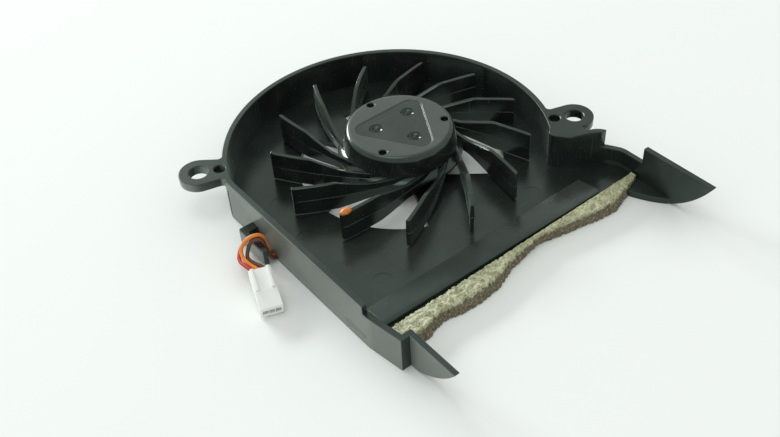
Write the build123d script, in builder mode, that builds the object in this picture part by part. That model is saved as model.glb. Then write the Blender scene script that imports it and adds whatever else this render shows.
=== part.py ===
"""A laptop blower fan: a moulded scroll housing without its cover, a backward-curved impeller on a small
outer-rotor motor, three leads looped over a hook, and a worn foam strip along the outlet.

Millimetres. The origin is on the rotor's axis, in the plane of the housing's underside. +Z points up out of
the open top, and the air leaves along -Y.
"""
import os
from math import asin, atan2, cos, degrees, hypot, pi, radians, sin, sqrt, tan

from build123d import *

# Fits
PRESS_GAP = 0.02
TOUCH = 0.001
SHAFT_GAP = 0.03
SLIDE_GAP = 0.1

# Impeller
TIP_R = 25.0
BLADE_COUNT = 13
BLADE_PHASE = 123.5
BLADE_FLOOR_GAP = 0.4
BLADE_HEIGHT = 6.0
BLADE_T = 0.95
BLADE_DRAFT = 2.0
BLADE_MID_R = 15.6
BLADE_MID_TURN = 19.7
BLADE_ROOT_TURN = 57.7
KINK_R = 18.2
NECK_R = 13.4
NECK_DROP = 1.8
NECK_RISE = 1.2
ROOT_DROP = 2.0
ROOT_RISE = 1.4

# Impeller hub
HUB_LIP_DROP = 3.9
HUB_LIP_T = 0.25
HUB_EDGE_R = 1.3
HUB_TAPER = 0.4
HUB_STEP = 0.85
HUB_WALL = 1.16
HUB_ROOF = 1.6
HUB_BOSS_R = 1.7
HUB_BOSS_DROP = 1.3
SHAFT_CAP = 0.8
RECESS_R = 8.6
RECESS_CORNER = 2.3
RECESS_DEPTH = 0.15
RECESS_PHASE = 31.0
GATE_RING_R = 4.5
GATE_R = 1.4
GATE_DEPTH = 0.3
GATE_NUB_R = 0.5
VENT_RING_R = 8.8
VENT_R = 0.75
VENT_DEPTH = 0.9
VENT_PHASE = 91.0

# Housing
FLOOR = 1.2
WALL = 1.1
RIM_RISE = 1.0
SCROLL_X = -3.5
SCROLL_Y = -1.2
CUTOFF_GAP = 1.8
SIDE_FLAT = 1.7
BEND_R = 3.5
OUTLET_RUN = 8.0
INTAKE_R = 20.0
TONGUE_GAP = 2.9
TONGUE_ANGLE = -45.5
TONGUE_NOSE_R = 1.5
BLOCK_DX = 2.65
BLOCK_DY = -3.4
STEP_DX = 8.2
STEP_DY = -5.7
CORE_WALL = 1.3
BLOCK_BACK_TURN = 5.0
BLOCK_NOSE_TURN = 6.0
NOTCH_RIGHT_DROP = 3.4
NOTCH_RIGHT_RUN = 9.0
NOTCH_LEFT_DROP = 1.6
NOTCH_LEFT_RUN = 1.0
FIN_RIGHT_DX = 1.9
FIN_RIGHT_RUN = 17.1
FIN_LEFT_RUN = 17.9
FIN_FOOT_RUN = 9.0
FIN_BELLY_SHARE = 0.5
FIN_BELLY_DROP = 1.1
END_TAPER = 1.1
END_RUN = 7.4
JOG = 1.8
WING_RUN = 4.6
WING_BOW = 0.7

# Ears
EAR_REACH = 4.4
EAR_R = 3.7
EAR_T = 1.8
EAR_HOLE_R = 1.8
EAR_ROOT_R = 2.8
EAR_NECK_R = 0.9
EAR_NECK_SHARE = 0.6
EAR_NECK_RUN = 1.4
EAR_ANGLES = (153.6, -29.5)
PIT_R = 1.1
PIT_SHIFT = 0.5
PIT_DEPTH = 1.2

# Ramp on the floor in front of the outlet
RAMP_DEPTH = 5.3
RAMP_SETBACK = 0.5
RAMP_HEIGHT = 1.0
RAMP_HEEL = 0.3
RAMP_BEVEL = 0.9
RAMP_NOSE = 0.7
RAMP_LEFT_GAP = 2.8
RAMP_RIGHT_GAP = 8.6

# Marks of the ejector pins on the floor: centre and radius
PIN_MARK_DEPTH = 0.05
PIN_MARK_R = 1.8
PIN_MARKS = ((-26.8, -6.0), (-23.0, -23.6), (-25.3, 4.9), (12.0, -24.0))

# Motor base and its struts
BASE_R = 9.4
BASE_T = 0.8
STRUT_W = 4.0
STRUT_OFFSET = 6.8
STRUT_ANGLES = (-39.5, 80.5, 200.5)
BOSS_WALL = 0.8
BOSS_FLOOR = 0.5

# Motor
SHAFT_R = 0.75
SHAFT_GROOVE = 0.2
TUBE_R = 2.6
TUBE_WALL = 0.5
TUBE_HEAD_GAP = 0.3
PAD_T = 0.4
WASHER_GAP = 0.2
WASHER_T = 0.2
SLEEVE_INSET = 0.3
BOARD_T = 0.6
BOARD_INSET = 0.6
INSULATOR_T = 0.5
STACK_T = 2.6
STACK_R = 6.8
POLE_COUNT = 4
POLE_NECK_W = 1.6
POLE_SHOE_T = 1.1
POLE_SHOE_SPAN = 74.0
STACK_RING_T = 0.8
COIL_T = 0.75
COIL_ROUND = 0.5
COIL_FOOT_GAP = 0.35
COIL_HEAD_GAP = 0.83
AIR_GAP = 0.4
MAGNET_T = 1.2
MAGNET_INSET = 0.2
MAGNET_H = 3.8
YOKE_T = 0.5
ROTOR_FOOT_GAP = 0.3
CHIP_EDGE = 1.7
CHIP_H = 0.7
CHIP_SIZE = (2.9, 1.6, CHIP_H)
CAPACITOR_SIZE = (1.6, 0.8, 0.6)
RESISTOR_SIZE = (1.0, 0.5, 0.35)
CHIP_ANGLES = (20.0, -40.0, -95.0)

# Lead hook on the side wall
HOOK_GAP = 2.0
HOOK_T = 1.0
HOOK_LOW_Z = 0.9
HOOK_TOP_Z = 4.2
HOOK_BACK_Y = 1.0
HOOK_FRONT_Y = -7.0
HOOK_STEM_W = 1.8
HOOK_STEM_H = 2.6
HOOK_ROUND = 0.45

# Leads, from the circuit board to the connector
LEAD_D = 0.7
LEAD_PITCH = 0.76
LEAD_PLAY = 0.48
LEAD_GROOVE_START = 3.0
LEAD_ARC_SHARE = 0.45
LEAD_ROUTE = (
    (-5.2, 5.3, 0.42),
    (-13.4, 2.35, 0.42),
    (-21.6, -0.69, 0.42),
    (-27.9, -3.08, 0.42),
    (-31.9, -4.67, 0.42),
    (-34.4, -5.55, 0.55),
    (-34.45, -4.85, 3.0),
    (-34.75, -4.3, 5.5),
    (-36.85, -3.5, 5.5),
    (-38.4, -3.4, 3.9),
    (-39.35, -4.8, 3.1),
    (-39.2, -7.0, 3.1),
)
LEAD_SIDES = (
    (-0.35, 0.94),
    (-0.35, 0.94),
    (-0.35, 0.94),
    (-0.35, 0.94),
    (-0.3, 0.95),
    (-0.1, 0.99),
    (0.0, 0.8),
    (0.0, 0.72),
    (0.0, 0.66),
    (-0.56, 0.78),
    (-0.98, 0.28),
    (-0.98, 0.1),
)
LEAD_NEST = (
    (0.0, 0.0),
    (0.0, 0.0),
    (0.0, 0.0),
    (0.0, 0.0),
    (0.0, 0.0),
    (0.0, 0.0),
    (0.34, 0.0),
    (0.2, 0.3),
    (-0.15, 0.3),
    (-0.3, 0.32),
    (0.0, 0.26),
    (0.0, 0.0),
)

# Connector on the leads
PLUG_L = 8.4
PLUG_FACE = (-38.74, -9.42, 2.95)
PLUG_HEADING = (-0.335, -0.943)
PLUG_SLOPE = 11.3
PLUG_PITCH = 1.1
PLUG_CAVITY = 0.95
PLUG_SIDE_WALL = 0.425
PLUG_FACE_WALL = 0.725
PLUG_ROUND = 0.25
PLUG_WINDOW_L = 1.6
PLUG_WINDOW_W = 0.65
PLUG_WINDOW_AT = 4.6
PLUG_KEY_W = 0.6
PLUG_KEY_H = 0.4
PLUG_KEY_L = 4.6
PLUG_ENTRY = 0.45
TERMINAL_INSET = 1.3
BARREL_R = 0.32
BARREL_L = 2.2
SOCKET_L = 3.4
SOCKET_WALL = 0.14

# Foam strip in front of the lip
FOAM_LOW_Z = 0.1
FOAM_T = 2.2
FOAM_END_GAP = 0.3
FOAM_DEPTHS = (5.0, 4.6, 3.5, 4.2, 4.35, 3.8, 2.3, 1.5, 0.9, 1.8, 2.5, 3.3, 3.6, 2.4, 1.2)

# Balance dab on one blade's tip
DAB_BLADE = 3
DAB_LENGTH = 2.6
DAB_WIDTH = 1.4
DAB_INSET = 1.2
DAB_RISE = 0.12

# Heights worked out from the above, from the floor and the motor base up
BLADE_LOW_Z = FLOOR + BLADE_FLOOR_GAP
BLADE_TOP_Z = BLADE_LOW_Z + BLADE_HEIGHT
BLADE_MID_Z = (BLADE_LOW_Z + BLADE_TOP_Z) / 2
RIM_Z = BLADE_TOP_Z + RIM_RISE
NOTCH_RIGHT_Z = RIM_Z - NOTCH_RIGHT_DROP
NOTCH_LEFT_Z = RIM_Z - NOTCH_LEFT_DROP
PAD_TOP_Z = BOSS_FLOOR + PAD_T
WASHER_LOW_Z = PAD_TOP_Z + WASHER_GAP
WASHER_TOP_Z = WASHER_LOW_Z + WASHER_T
BOARD_TOP_Z = BASE_T + BOARD_T
BOSS_TOP_Z = BOARD_TOP_Z + COIL_FOOT_GAP + COIL_T
STACK_LOW_Z = BOSS_TOP_Z + INSULATOR_T
STACK_TOP_Z = STACK_LOW_Z + STACK_T
STATOR_TOP_Z = STACK_TOP_Z + INSULATOR_T
YOKE_TOP_Z = STATOR_TOP_Z + COIL_T + COIL_HEAD_GAP + YOKE_T
HUB_ROOF_Z = YOKE_TOP_Z + PRESS_GAP
HUB_TOP_Z = HUB_ROOF_Z + HUB_ROOF
HUB_LIP_Z = HUB_TOP_Z - HUB_LIP_DROP
HUB_BOSS_Z = HUB_ROOF_Z - HUB_BOSS_DROP
HUB_LOW_Z = BOARD_TOP_Z + CHIP_H + ROTOR_FOOT_GAP
MAGNET_LOW_Z = HUB_LOW_Z + MAGNET_INSET
TUBE_TOP_Z = HUB_BOSS_Z - TUBE_HEAD_GAP
SLEEVE_TOP_Z = TUBE_TOP_Z - SLEEVE_INSET

# Radii worked out from the above, from the shaft outwards
TUBE_BORE_R = TUBE_R - TUBE_WALL
BOSS_R = TUBE_R + BOSS_WALL
STACK_BORE_R = TUBE_R + PRESS_GAP
STACK_RING_R = TUBE_R + STACK_RING_T
MAGNET_BORE_R = STACK_R + AIR_GAP
MAGNET_R = MAGNET_BORE_R + MAGNET_T
YOKE_BORE_R = MAGNET_R + PRESS_GAP
YOKE_R = YOKE_BORE_R + YOKE_T
HUB_BORE_R = YOKE_R + PRESS_GAP
HUB_WALL_R = HUB_BORE_R + HUB_WALL
HUB_LIP_R = HUB_WALL_R + HUB_STEP
HUB_TOP_R = HUB_LIP_R - HUB_TAPER
BOARD_R = BASE_R - BOARD_INSET
CHIP_RING_R = BOARD_R - CHIP_EDGE

# Places on the plan worked out from the above
SCROLL_R = TIP_R + CUTOFF_GAP + WALL + hypot(SCROLL_X, SCROLL_Y)
SCROLL_IN_R = SCROLL_R - WALL
SIDE_X = SCROLL_X - SCROLL_R + SIDE_FLAT
SIDE_IN_X = SIDE_X + WALL
CREASE_Y = SCROLL_Y + sqrt(SCROLL_R**2 - (SCROLL_R - SIDE_FLAT) ** 2)
LIP_Y = -TIP_R - OUTLET_RUN
TONGUE_R = TIP_R + TONGUE_GAP
TONGUE_X = TONGUE_R * cos(radians(TONGUE_ANGLE))
TONGUE_Y = TONGUE_R * sin(radians(TONGUE_ANGLE))
BLOCK_X = TONGUE_X + BLOCK_DX
BLOCK_Y = TONGUE_Y + BLOCK_DY
STEP_X = TONGUE_X + STEP_DX
STEP_Y = TONGUE_Y + STEP_DY
FIN_X = STEP_X + FIN_RIGHT_DX
FIN_OUT_X = FIN_X + WALL
BEND_Y = STEP_Y - 2 * FIN_RIGHT_DX
FIN_ROOT_Y = STEP_Y - NOTCH_RIGHT_RUN
END_Y = LIP_Y - END_RUN
END_X = SIDE_X + END_TAPER
LEFT_FIN_X = END_X + JOG
LEFT_FIN_IN_X = LEFT_FIN_X + WALL
HOOK_IN_X = SIDE_X - HOOK_GAP
HOOK_OUT_X = HOOK_IN_X - HOOK_T
LEAD_GROOVE_W = 2 * LEAD_PITCH + LEAD_D + LEAD_PLAY
LEAD_GROOVE_DEPTH = BASE_T
PLUG_W = 2 * PLUG_PITCH + PLUG_CAVITY + 2 * PLUG_SIDE_WALL
PLUG_T = PLUG_CAVITY + 2 * PLUG_FACE_WALL
FAR = 4 * SCROLL_R


def polar(radius, angle, centre=(0, 0)):
    """The point at a radius and an angle in degrees about a centre."""
    return (
        centre[0] + radius * cos(radians(angle)),
        centre[1] + radius * sin(radians(angle)),
    )


def bearing(x, y):
    """The direction of a point as seen from the scroll's centre, in degrees."""
    return degrees(atan2(y - SCROLL_Y, x - SCROLL_X))


def scroll_distance(vertex):
    """How far a corner of a plan is from the scroll's centre."""
    return hypot(vertex.X - SCROLL_X, vertex.Y - SCROLL_Y)


os.makedirs("parts", exist_ok=True)
scroll_centre = (SCROLL_X, SCROLL_Y)
tongue_bearing = bearing(TONGUE_X, TONGUE_Y)
crease_bearing = bearing(SIDE_X, CREASE_Y)
ear_centres = [polar(SCROLL_R + EAR_REACH, angle, scroll_centre) for angle in EAR_ANGLES]
ear_roots = [polar(SCROLL_R, angle, scroll_centre) for angle in EAR_ANGLES]

# Housing: plans of the floor, the scroll wall, the tongue block and the ears
with BuildSketch() as floor_plan:
    with Locations(scroll_centre):
        Circle(SCROLL_R)
    with BuildLine():
        Polyline(
            (SIDE_X, CREASE_Y),
            (SIDE_X, LIP_Y),
            (FIN_OUT_X, LIP_Y),
            (FIN_OUT_X, BEND_Y),
            (STEP_X, STEP_Y + WALL),
            polar(SCROLL_R, EAR_ANGLES[1], scroll_centre),
            close=True,
        )
    make_face()
    with Locations((SIDE_X, 0)):
        Rectangle(FAR, FAR, align=(Align.MIN, Align.CENTER), mode=Mode.INTERSECT)

with BuildSketch() as scroll_wall_plan:
    with Locations(scroll_centre):
        Circle(SCROLL_R)
        Circle(SCROLL_IN_R, mode=Mode.SUBTRACT)
    with BuildLine():
        Polyline(
            scroll_centre,
            polar(FAR, tongue_bearing, scroll_centre),
            (FAR, FAR),
            (-FAR, FAR),
            polar(FAR, crease_bearing, scroll_centre),
            close=True,
        )
    make_face(mode=Mode.INTERSECT)

with BuildSketch() as block_plan:
    with BuildLine():
        Polyline(
            (TONGUE_X, TONGUE_Y),
            (BLOCK_X, BLOCK_Y),
            (STEP_X - 2 * WALL, STEP_Y + WALL),
            (STEP_X - WALL, STEP_Y + 2 * WALL),
            polar(SCROLL_R, EAR_ANGLES[1] + BLOCK_BACK_TURN, scroll_centre),
            polar(SCROLL_IN_R, tongue_bearing + BLOCK_NOSE_TURN, scroll_centre),
            close=True,
        )
    make_face()
    nose = block_plan.vertices().sort_by_distance((TONGUE_X, TONGUE_Y))[0]
    fillet(nose, radius=TONGUE_NOSE_R)

with BuildSketch() as right_wall_plan:
    with BuildLine():
        FilletPolyline(
            (BLOCK_X + WALL / 2, BLOCK_Y + WALL / 2),
            (STEP_X, STEP_Y + WALL / 2),
            (FIN_X + WALL / 2, BEND_Y),
            (FIN_X + WALL / 2, FIN_ROOT_Y),
            radius=BEND_R,
        )
    trace(line_width=WALL)

with BuildSketch() as left_end_plan:
    with BuildLine():
        Polyline(
            (SIDE_X, LIP_Y),
            (END_X, END_Y),
            (LEFT_FIN_IN_X, END_Y),
            (LEFT_FIN_IN_X, END_Y + WALL),
            (END_X + WALL, END_Y + WALL),
            (SIDE_IN_X, LIP_Y),
            close=True,
        )
    make_face()

# Each ear flows into the scroll's rim in hollow curves, which end before the crease
ear_half_turn = degrees(asin(EAR_ROOT_R / SCROLL_R))
neck_room = SCROLL_R * radians(crease_bearing - EAR_ANGLES[0] - ear_half_turn)
neck_r = min(EAR_NECK_R, EAR_NECK_SHARE * neck_room)
ear_span_r = hypot(EAR_REACH, EAR_ROOT_R + EAR_NECK_RUN * neck_r)
with BuildSketch(Plane.XY.offset(RIM_Z)) as ears_plan:
    for ear_centre, ear_root in zip(ear_centres, ear_roots):
        with BuildSketch(mode=Mode.PRIVATE) as hull_plan:
            with Locations(ear_centre):
                Circle(EAR_R)
            with Locations(ear_root):
                Circle(EAR_ROOT_R)
            make_hull()
        with BuildSketch(mode=Mode.PRIVATE) as ear_plan:
            with Locations(scroll_centre):
                Circle(SCROLL_R)
            with Locations((SIDE_X, 0)):
                Rectangle(FAR, FAR, align=(Align.MIN, Align.CENTER), mode=Mode.INTERSECT)
            add(hull_plan.sketch)
            corners = ear_plan.vertices().filter_by(lambda v: abs(scroll_distance(v) - SCROLL_R) < TOUCH)
            fillet(corners.sort_by_distance(ear_root)[:2], radius=neck_r)
            with Locations(scroll_centre):
                Circle(SCROLL_IN_R, mode=Mode.SUBTRACT)
            with Locations(ear_centre):
                Circle(ear_span_r, mode=Mode.INTERSECT)
        add(ear_plan.sketch)

with BuildSketch() as wings_plan:
    with BuildLine():
        ThreePointArc(
            (FIN_X - WING_RUN, LIP_Y),
            (FIN_X - WING_RUN / 2 - WING_BOW, LIP_Y - FIN_FOOT_RUN / 2),
            (FIN_X, LIP_Y - FIN_FOOT_RUN),
        )
        Polyline(
            (FIN_X, LIP_Y - FIN_FOOT_RUN),
            (FIN_X, LIP_Y),
            (FIN_X - WING_RUN, LIP_Y),
        )
    make_face()
    with BuildLine():
        ThreePointArc(
            (LEFT_FIN_IN_X + WING_RUN, LIP_Y),
            (LEFT_FIN_IN_X + WING_RUN / 2 + WING_BOW, (LIP_Y + END_Y) / 2),
            (LEFT_FIN_IN_X, END_Y),
        )
        Polyline(
            (LEFT_FIN_IN_X, END_Y),
            (SIDE_IN_X, LIP_Y),
            (LEFT_FIN_IN_X + WING_RUN, LIP_Y),
        )
    make_face()

with BuildPart() as wings_solid:
    add(wings_plan.sketch)
    extrude(amount=FLOOR)


def fin_outline(root_y, tip_y, foot_y, top_z):
    """Lines of one outlet fin in the plane of its side: a flat top, a sharp tip and a rounded belly."""
    belly_y = foot_y + (tip_y - foot_y) * FIN_BELLY_SHARE
    belly_z = top_z * FIN_BELLY_SHARE - FIN_BELLY_DROP
    Polyline((foot_y, 0), (root_y, 0), (root_y, top_z), (tip_y, top_z))
    ThreePointArc((tip_y, top_z), (belly_y, belly_z), (foot_y, 0))


with BuildPart() as housing:
    add(floor_plan.sketch)
    extrude(amount=FLOOR)
    add(wings_solid.part)
    add(scroll_wall_plan.sketch)
    add(block_plan.sketch)
    add(right_wall_plan.sketch)
    extrude(amount=RIM_Z)
    with Locations((SIDE_X, LIP_Y)):
        Box(WALL, CREASE_Y - LIP_Y, RIM_Z, align=(Align.MIN, Align.MIN, Align.MIN))
    add(left_end_plan.sketch)
    extrude(amount=NOTCH_LEFT_Z)
    add(ears_plan.sketch)
    extrude(amount=-EAR_T)

    # Fins at both sides of the outlet
    with BuildSketch(Plane.YZ.offset(FIN_X)):
        with BuildLine():
            fin_outline(FIN_ROOT_Y, LIP_Y - FIN_RIGHT_RUN, LIP_Y - FIN_FOOT_RUN, RIM_Z)
        make_face()
    extrude(amount=WALL)
    with BuildSketch(Plane.YZ.offset(LEFT_FIN_X)):
        with BuildLine():
            fin_outline(END_Y, LIP_Y - FIN_LEFT_RUN, LIP_Y - FIN_FOOT_RUN, NOTCH_LEFT_Z)
        make_face()
    extrude(amount=WALL)

    # Low stretches of the walls beside the outlet
    with Locations((STEP_X, STEP_Y - WALL / 2, NOTCH_RIGHT_Z)):
        Box(
            2 * (FIN_OUT_X - STEP_X),
            NOTCH_RIGHT_RUN - WALL / 2,
            RIM_Z,
            align=(Align.MIN, Align.MAX, Align.MIN),
            mode=Mode.SUBTRACT,
        )
    with Locations((SIDE_X, LIP_Y + NOTCH_LEFT_RUN, NOTCH_LEFT_Z)):
        Box(
            WALL,
            NOTCH_LEFT_RUN,
            RIM_Z,
            align=(Align.MIN, Align.MAX, Align.MIN),
            mode=Mode.SUBTRACT,
        )

    # Ramp across the floor
    ramp_front_y = LIP_Y + RAMP_SETBACK
    ramp_back_y = ramp_front_y + RAMP_DEPTH
    ramp_length = FIN_X - RAMP_RIGHT_GAP - SIDE_IN_X - RAMP_LEFT_GAP
    with BuildSketch(Plane.YZ.offset(SIDE_IN_X + RAMP_LEFT_GAP)):
        with BuildLine():
            Polyline(
                (ramp_back_y, FLOOR / 2),
                (ramp_back_y, FLOOR + RAMP_HEEL),
                (ramp_front_y + RAMP_BEVEL, FLOOR + RAMP_HEIGHT),
                (ramp_front_y, FLOOR + RAMP_NOSE),
                (ramp_front_y, FLOOR / 2),
                close=True,
            )
        make_face()
    extrude(amount=ramp_length)

    # Intake opening with the motor base on three swept struts
    with BuildSketch():
        Circle(INTAKE_R)
    extrude(amount=FLOOR, mode=Mode.SUBTRACT)
    with BuildSketch() as base_plan:
        Circle(BASE_R)
    extrude(amount=BASE_T)
    with BuildSketch() as struts_plan:
        for strut_angle in STRUT_ANGLES:
            strut_start = polar(STRUT_OFFSET, strut_angle - 90)
            with Locations(Location((*strut_start, 0), (0, 0, strut_angle))):
                Rectangle(INTAKE_R, STRUT_W, align=(Align.MIN, Align.CENTER))
        Circle(BASE_R, mode=Mode.SUBTRACT)
    extrude(amount=FLOOR)
    Cylinder(BOSS_R, BOSS_TOP_Z, align=(Align.CENTER, Align.CENTER, Align.MIN))
    with Locations((0, 0, BOSS_FLOOR)):
        Cylinder(
            TUBE_R + PRESS_GAP,
            BOSS_TOP_Z,
            align=(Align.CENTER, Align.CENTER, Align.MIN),
            mode=Mode.SUBTRACT,
        )

    # Hook for the leads: a stem on the side wall and a bar along it
    with Locations((HOOK_OUT_X, HOOK_FRONT_Y, HOOK_LOW_Z)):
        Box(
            HOOK_T,
            HOOK_BACK_Y - HOOK_FRONT_Y,
            HOOK_TOP_Z - HOOK_LOW_Z,
            align=(Align.MIN, Align.MIN, Align.MIN),
        )
    bar_ends = housing.edges().filter_by(Axis.Z).sort_by(Axis.X)[:2]
    fillet(bar_ends, radius=HOOK_ROUND)
    with Locations((HOOK_IN_X, HOOK_BACK_Y, HOOK_TOP_Z)):
        Box(
            HOOK_GAP,
            HOOK_STEM_W,
            HOOK_STEM_H,
            align=(Align.MIN, Align.MAX, Align.MAX),
        )

    # Screw holes in the ears, pits for the cover's pins, and the ejector pins' marks
    with Locations(*[(x, y, RIM_Z) for x, y in ear_centres]):
        Hole(EAR_HOLE_R, depth=EAR_T)
    pit_places = [polar(SCROLL_R + PIT_SHIFT, angle, scroll_centre) for angle in EAR_ANGLES]
    with Locations(*[(x, y, RIM_Z) for x, y in pit_places]):
        Hole(PIT_R, depth=PIT_DEPTH)
    with Locations(*[(x, y, FLOOR) for x, y in PIN_MARKS]):
        Hole(PIN_MARK_R, depth=PIN_MARK_DEPTH)

    # Groove for the leads on the underside, out through the foot of the side wall
    groove_angle = STRUT_ANGLES[2]
    groove_start = polar(STRUT_OFFSET, groove_angle - 90)
    with BuildSketch():
        with Locations(Location((*groove_start, 0), (0, 0, groove_angle))):
            with Locations((LEAD_GROOVE_START, 0)):
                Rectangle(FAR / 2, LEAD_GROOVE_W, align=(Align.MIN, Align.CENTER))
    extrude(amount=LEAD_GROOVE_DEPTH, mode=Mode.SUBTRACT)

    # Hollow under the tongue block, cored from below
    with BuildSketch() as core_plan:
        add(block_plan.sketch)
        offset(amount=-CORE_WALL, kind=Kind.INTERSECTION, mode=Mode.REPLACE)
    extrude(amount=RIM_Z - EAR_T, mode=Mode.SUBTRACT)
housing.part.label = "housing"
export_step(housing.part, "parts/housing.step")

# Impeller: thirteen swept blades inside a turned envelope, on a cup-shaped hub
blade_tip = (TIP_R, 0)
blade_mid = polar(BLADE_MID_R, BLADE_MID_TURN)
blade_root = polar(HUB_WALL_R, BLADE_ROOT_TURN)
with BuildSketch() as blade_plan:
    with BuildLine():
        ThreePointArc(blade_tip, blade_mid, blade_root)
    trace(line_width=BLADE_T)

with BuildSketch(Plane.XY.offset(BLADE_MID_Z)) as blades_plan:
    with PolarLocations(0, BLADE_COUNT, start_angle=BLADE_PHASE):
        add(blade_plan.sketch)

with BuildPart() as blades:
    extrude(blades_plan.sketch, amount=BLADE_HEIGHT / 2, dir=(0, 0, -1), taper=BLADE_DRAFT)
    mirror(about=Plane.XY.offset(BLADE_MID_Z))
    with BuildSketch(Plane.XZ):
        with BuildLine():
            Polyline(
                (HUB_BORE_R, BLADE_LOW_Z + ROOT_RISE),
                (NECK_R, BLADE_LOW_Z + NECK_RISE),
                (KINK_R, BLADE_LOW_Z),
                (TIP_R, BLADE_LOW_Z),
                (TIP_R, BLADE_TOP_Z),
                (KINK_R, BLADE_TOP_Z),
                (NECK_R, BLADE_TOP_Z - NECK_DROP),
                (HUB_BORE_R, BLADE_TOP_Z - ROOT_DROP),
                close=True,
            )
        make_face()
    revolve(axis=Axis.Z, mode=Mode.INTERSECT)

with BuildPart() as impeller:
    with BuildSketch(Plane.XZ):
        with BuildLine():
            Polyline(
                (0, HUB_TOP_Z - SHAFT_CAP),
                (0, HUB_TOP_Z),
                (HUB_TOP_R - HUB_EDGE_R, HUB_TOP_Z),
            )
            ThreePointArc(
                (HUB_TOP_R - HUB_EDGE_R, HUB_TOP_Z),
                polar(HUB_EDGE_R, 45, (HUB_TOP_R - HUB_EDGE_R, HUB_TOP_Z - HUB_EDGE_R)),
                (HUB_TOP_R, HUB_TOP_Z - HUB_EDGE_R),
            )
            Polyline(
                (HUB_TOP_R, HUB_TOP_Z - HUB_EDGE_R),
                (HUB_LIP_R, HUB_LIP_Z),
                (HUB_LIP_R, HUB_LIP_Z - HUB_LIP_T),
                (HUB_WALL_R, HUB_LIP_Z - HUB_LIP_T),
                (HUB_WALL_R, HUB_LOW_Z),
                (HUB_BORE_R, HUB_LOW_Z),
                (HUB_BORE_R, HUB_ROOF_Z),
                (HUB_BOSS_R, HUB_ROOF_Z),
                (HUB_BOSS_R, HUB_BOSS_Z),
                (SHAFT_R + PRESS_GAP, HUB_BOSS_Z),
                (SHAFT_R + PRESS_GAP, HUB_TOP_Z - SHAFT_CAP),
                (0, HUB_TOP_Z - SHAFT_CAP),
            )
        make_face()
    revolve(axis=Axis.Z)
    add(blades.part)
    with Locations((0, 0, HUB_LOW_Z)):
        Cylinder(
            HUB_BORE_R,
            HUB_BOSS_Z - HUB_LOW_Z,
            align=(Align.CENTER, Align.CENTER, Align.MIN),
            mode=Mode.SUBTRACT,
        )

    # Shallow three-cornered recess, gate marks and balance pockets in the hub's top
    with BuildSketch(Plane.XY.offset(HUB_TOP_Z)):
        with PolarLocations(RECESS_R - RECESS_CORNER, 3, start_angle=RECESS_PHASE):
            Circle(RECESS_CORNER)
        make_hull()
    extrude(amount=-RECESS_DEPTH, mode=Mode.SUBTRACT)
    with BuildSketch(Plane.XY.offset(HUB_TOP_Z - RECESS_DEPTH)):
        with PolarLocations(GATE_RING_R, 3, start_angle=RECESS_PHASE):
            Circle(GATE_R)
            Circle(GATE_NUB_R, mode=Mode.SUBTRACT)
    extrude(amount=-GATE_DEPTH, mode=Mode.SUBTRACT)
    with BuildSketch(Plane.XY.offset(HUB_TOP_Z)):
        with PolarLocations(VENT_RING_R, 3, start_angle=VENT_PHASE):
            Circle(VENT_R)
    extrude(amount=-VENT_DEPTH, mode=Mode.SUBTRACT)
impeller.part.label = "impeller"
export_step(impeller.part, "parts/impeller.step")

# Balance dab: a bead of compound that wraps the top edge of one blade's tip
dab_turn = BLADE_PHASE + DAB_BLADE * 360 / BLADE_COUNT
blade_heading = Vector(blade_mid[0] - TIP_R, blade_mid[1], 0).normalized()
dab_rest = Vector(TIP_R, 0, BLADE_TOP_Z + DAB_RISE) + blade_heading * DAB_INSET
dab_centre = dab_rest.rotate(Axis.Z, dab_turn)
dab_plane = Plane(origin=dab_centre, x_dir=blade_heading.rotate(Axis.Z, dab_turn), z_dir=(0, 0, 1))
dab_straight = DAB_LENGTH - DAB_WIDTH
with BuildPart() as balance_dab:
    with Locations(dab_plane.location):
        Cylinder(DAB_WIDTH / 2, dab_straight, rotation=(0, 90, 0))
        with Locations((-dab_straight / 2, 0, 0), (dab_straight / 2, 0, 0)):
            Sphere(DAB_WIDTH / 2)
    add(impeller.part, mode=Mode.SUBTRACT)
balance_dab.part.label = "balance_dab"
export_step(balance_dab.part, "parts/balance_dab.step")


def section(*points):
    """A closed outline of (radius, height) points in a plane through the rotor's axis."""
    with BuildSketch(Plane.XZ) as outline:
        with BuildLine():
            Polyline(*points, close=True)
        make_face()
    return outline.sketch


def ring_section(inner_r, outer_r, low_z, top_z):
    """The outline of a plain ring, or of a disc where the inner radius is 0."""
    return section((inner_r, low_z), (outer_r, low_z), (outer_r, top_z), (inner_r, top_z))


# Rotor: steel yoke, ring magnet and shaft inside the hub
yoke_hole_r = HUB_BOSS_R + PRESS_GAP
yoke_section = section(
    (yoke_hole_r, YOKE_TOP_Z),
    (YOKE_R, YOKE_TOP_Z),
    (YOKE_R, HUB_LOW_Z),
    (YOKE_BORE_R, HUB_LOW_Z),
    (YOKE_BORE_R, YOKE_TOP_Z - YOKE_T),
    (yoke_hole_r, YOKE_TOP_Z - YOKE_T),
)
with BuildPart() as rotor_yoke:
    revolve(yoke_section, axis=Axis.Z)
rotor_yoke.part.label = "rotor_yoke"
export_step(rotor_yoke.part, "parts/rotor_yoke.step")

with BuildPart() as ring_magnet:
    revolve(ring_section(MAGNET_BORE_R, MAGNET_R, MAGNET_LOW_Z, MAGNET_LOW_Z + MAGNET_H), axis=Axis.Z)
ring_magnet.part.label = "ring_magnet"
export_step(ring_magnet.part, "parts/ring_magnet.step")

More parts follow.
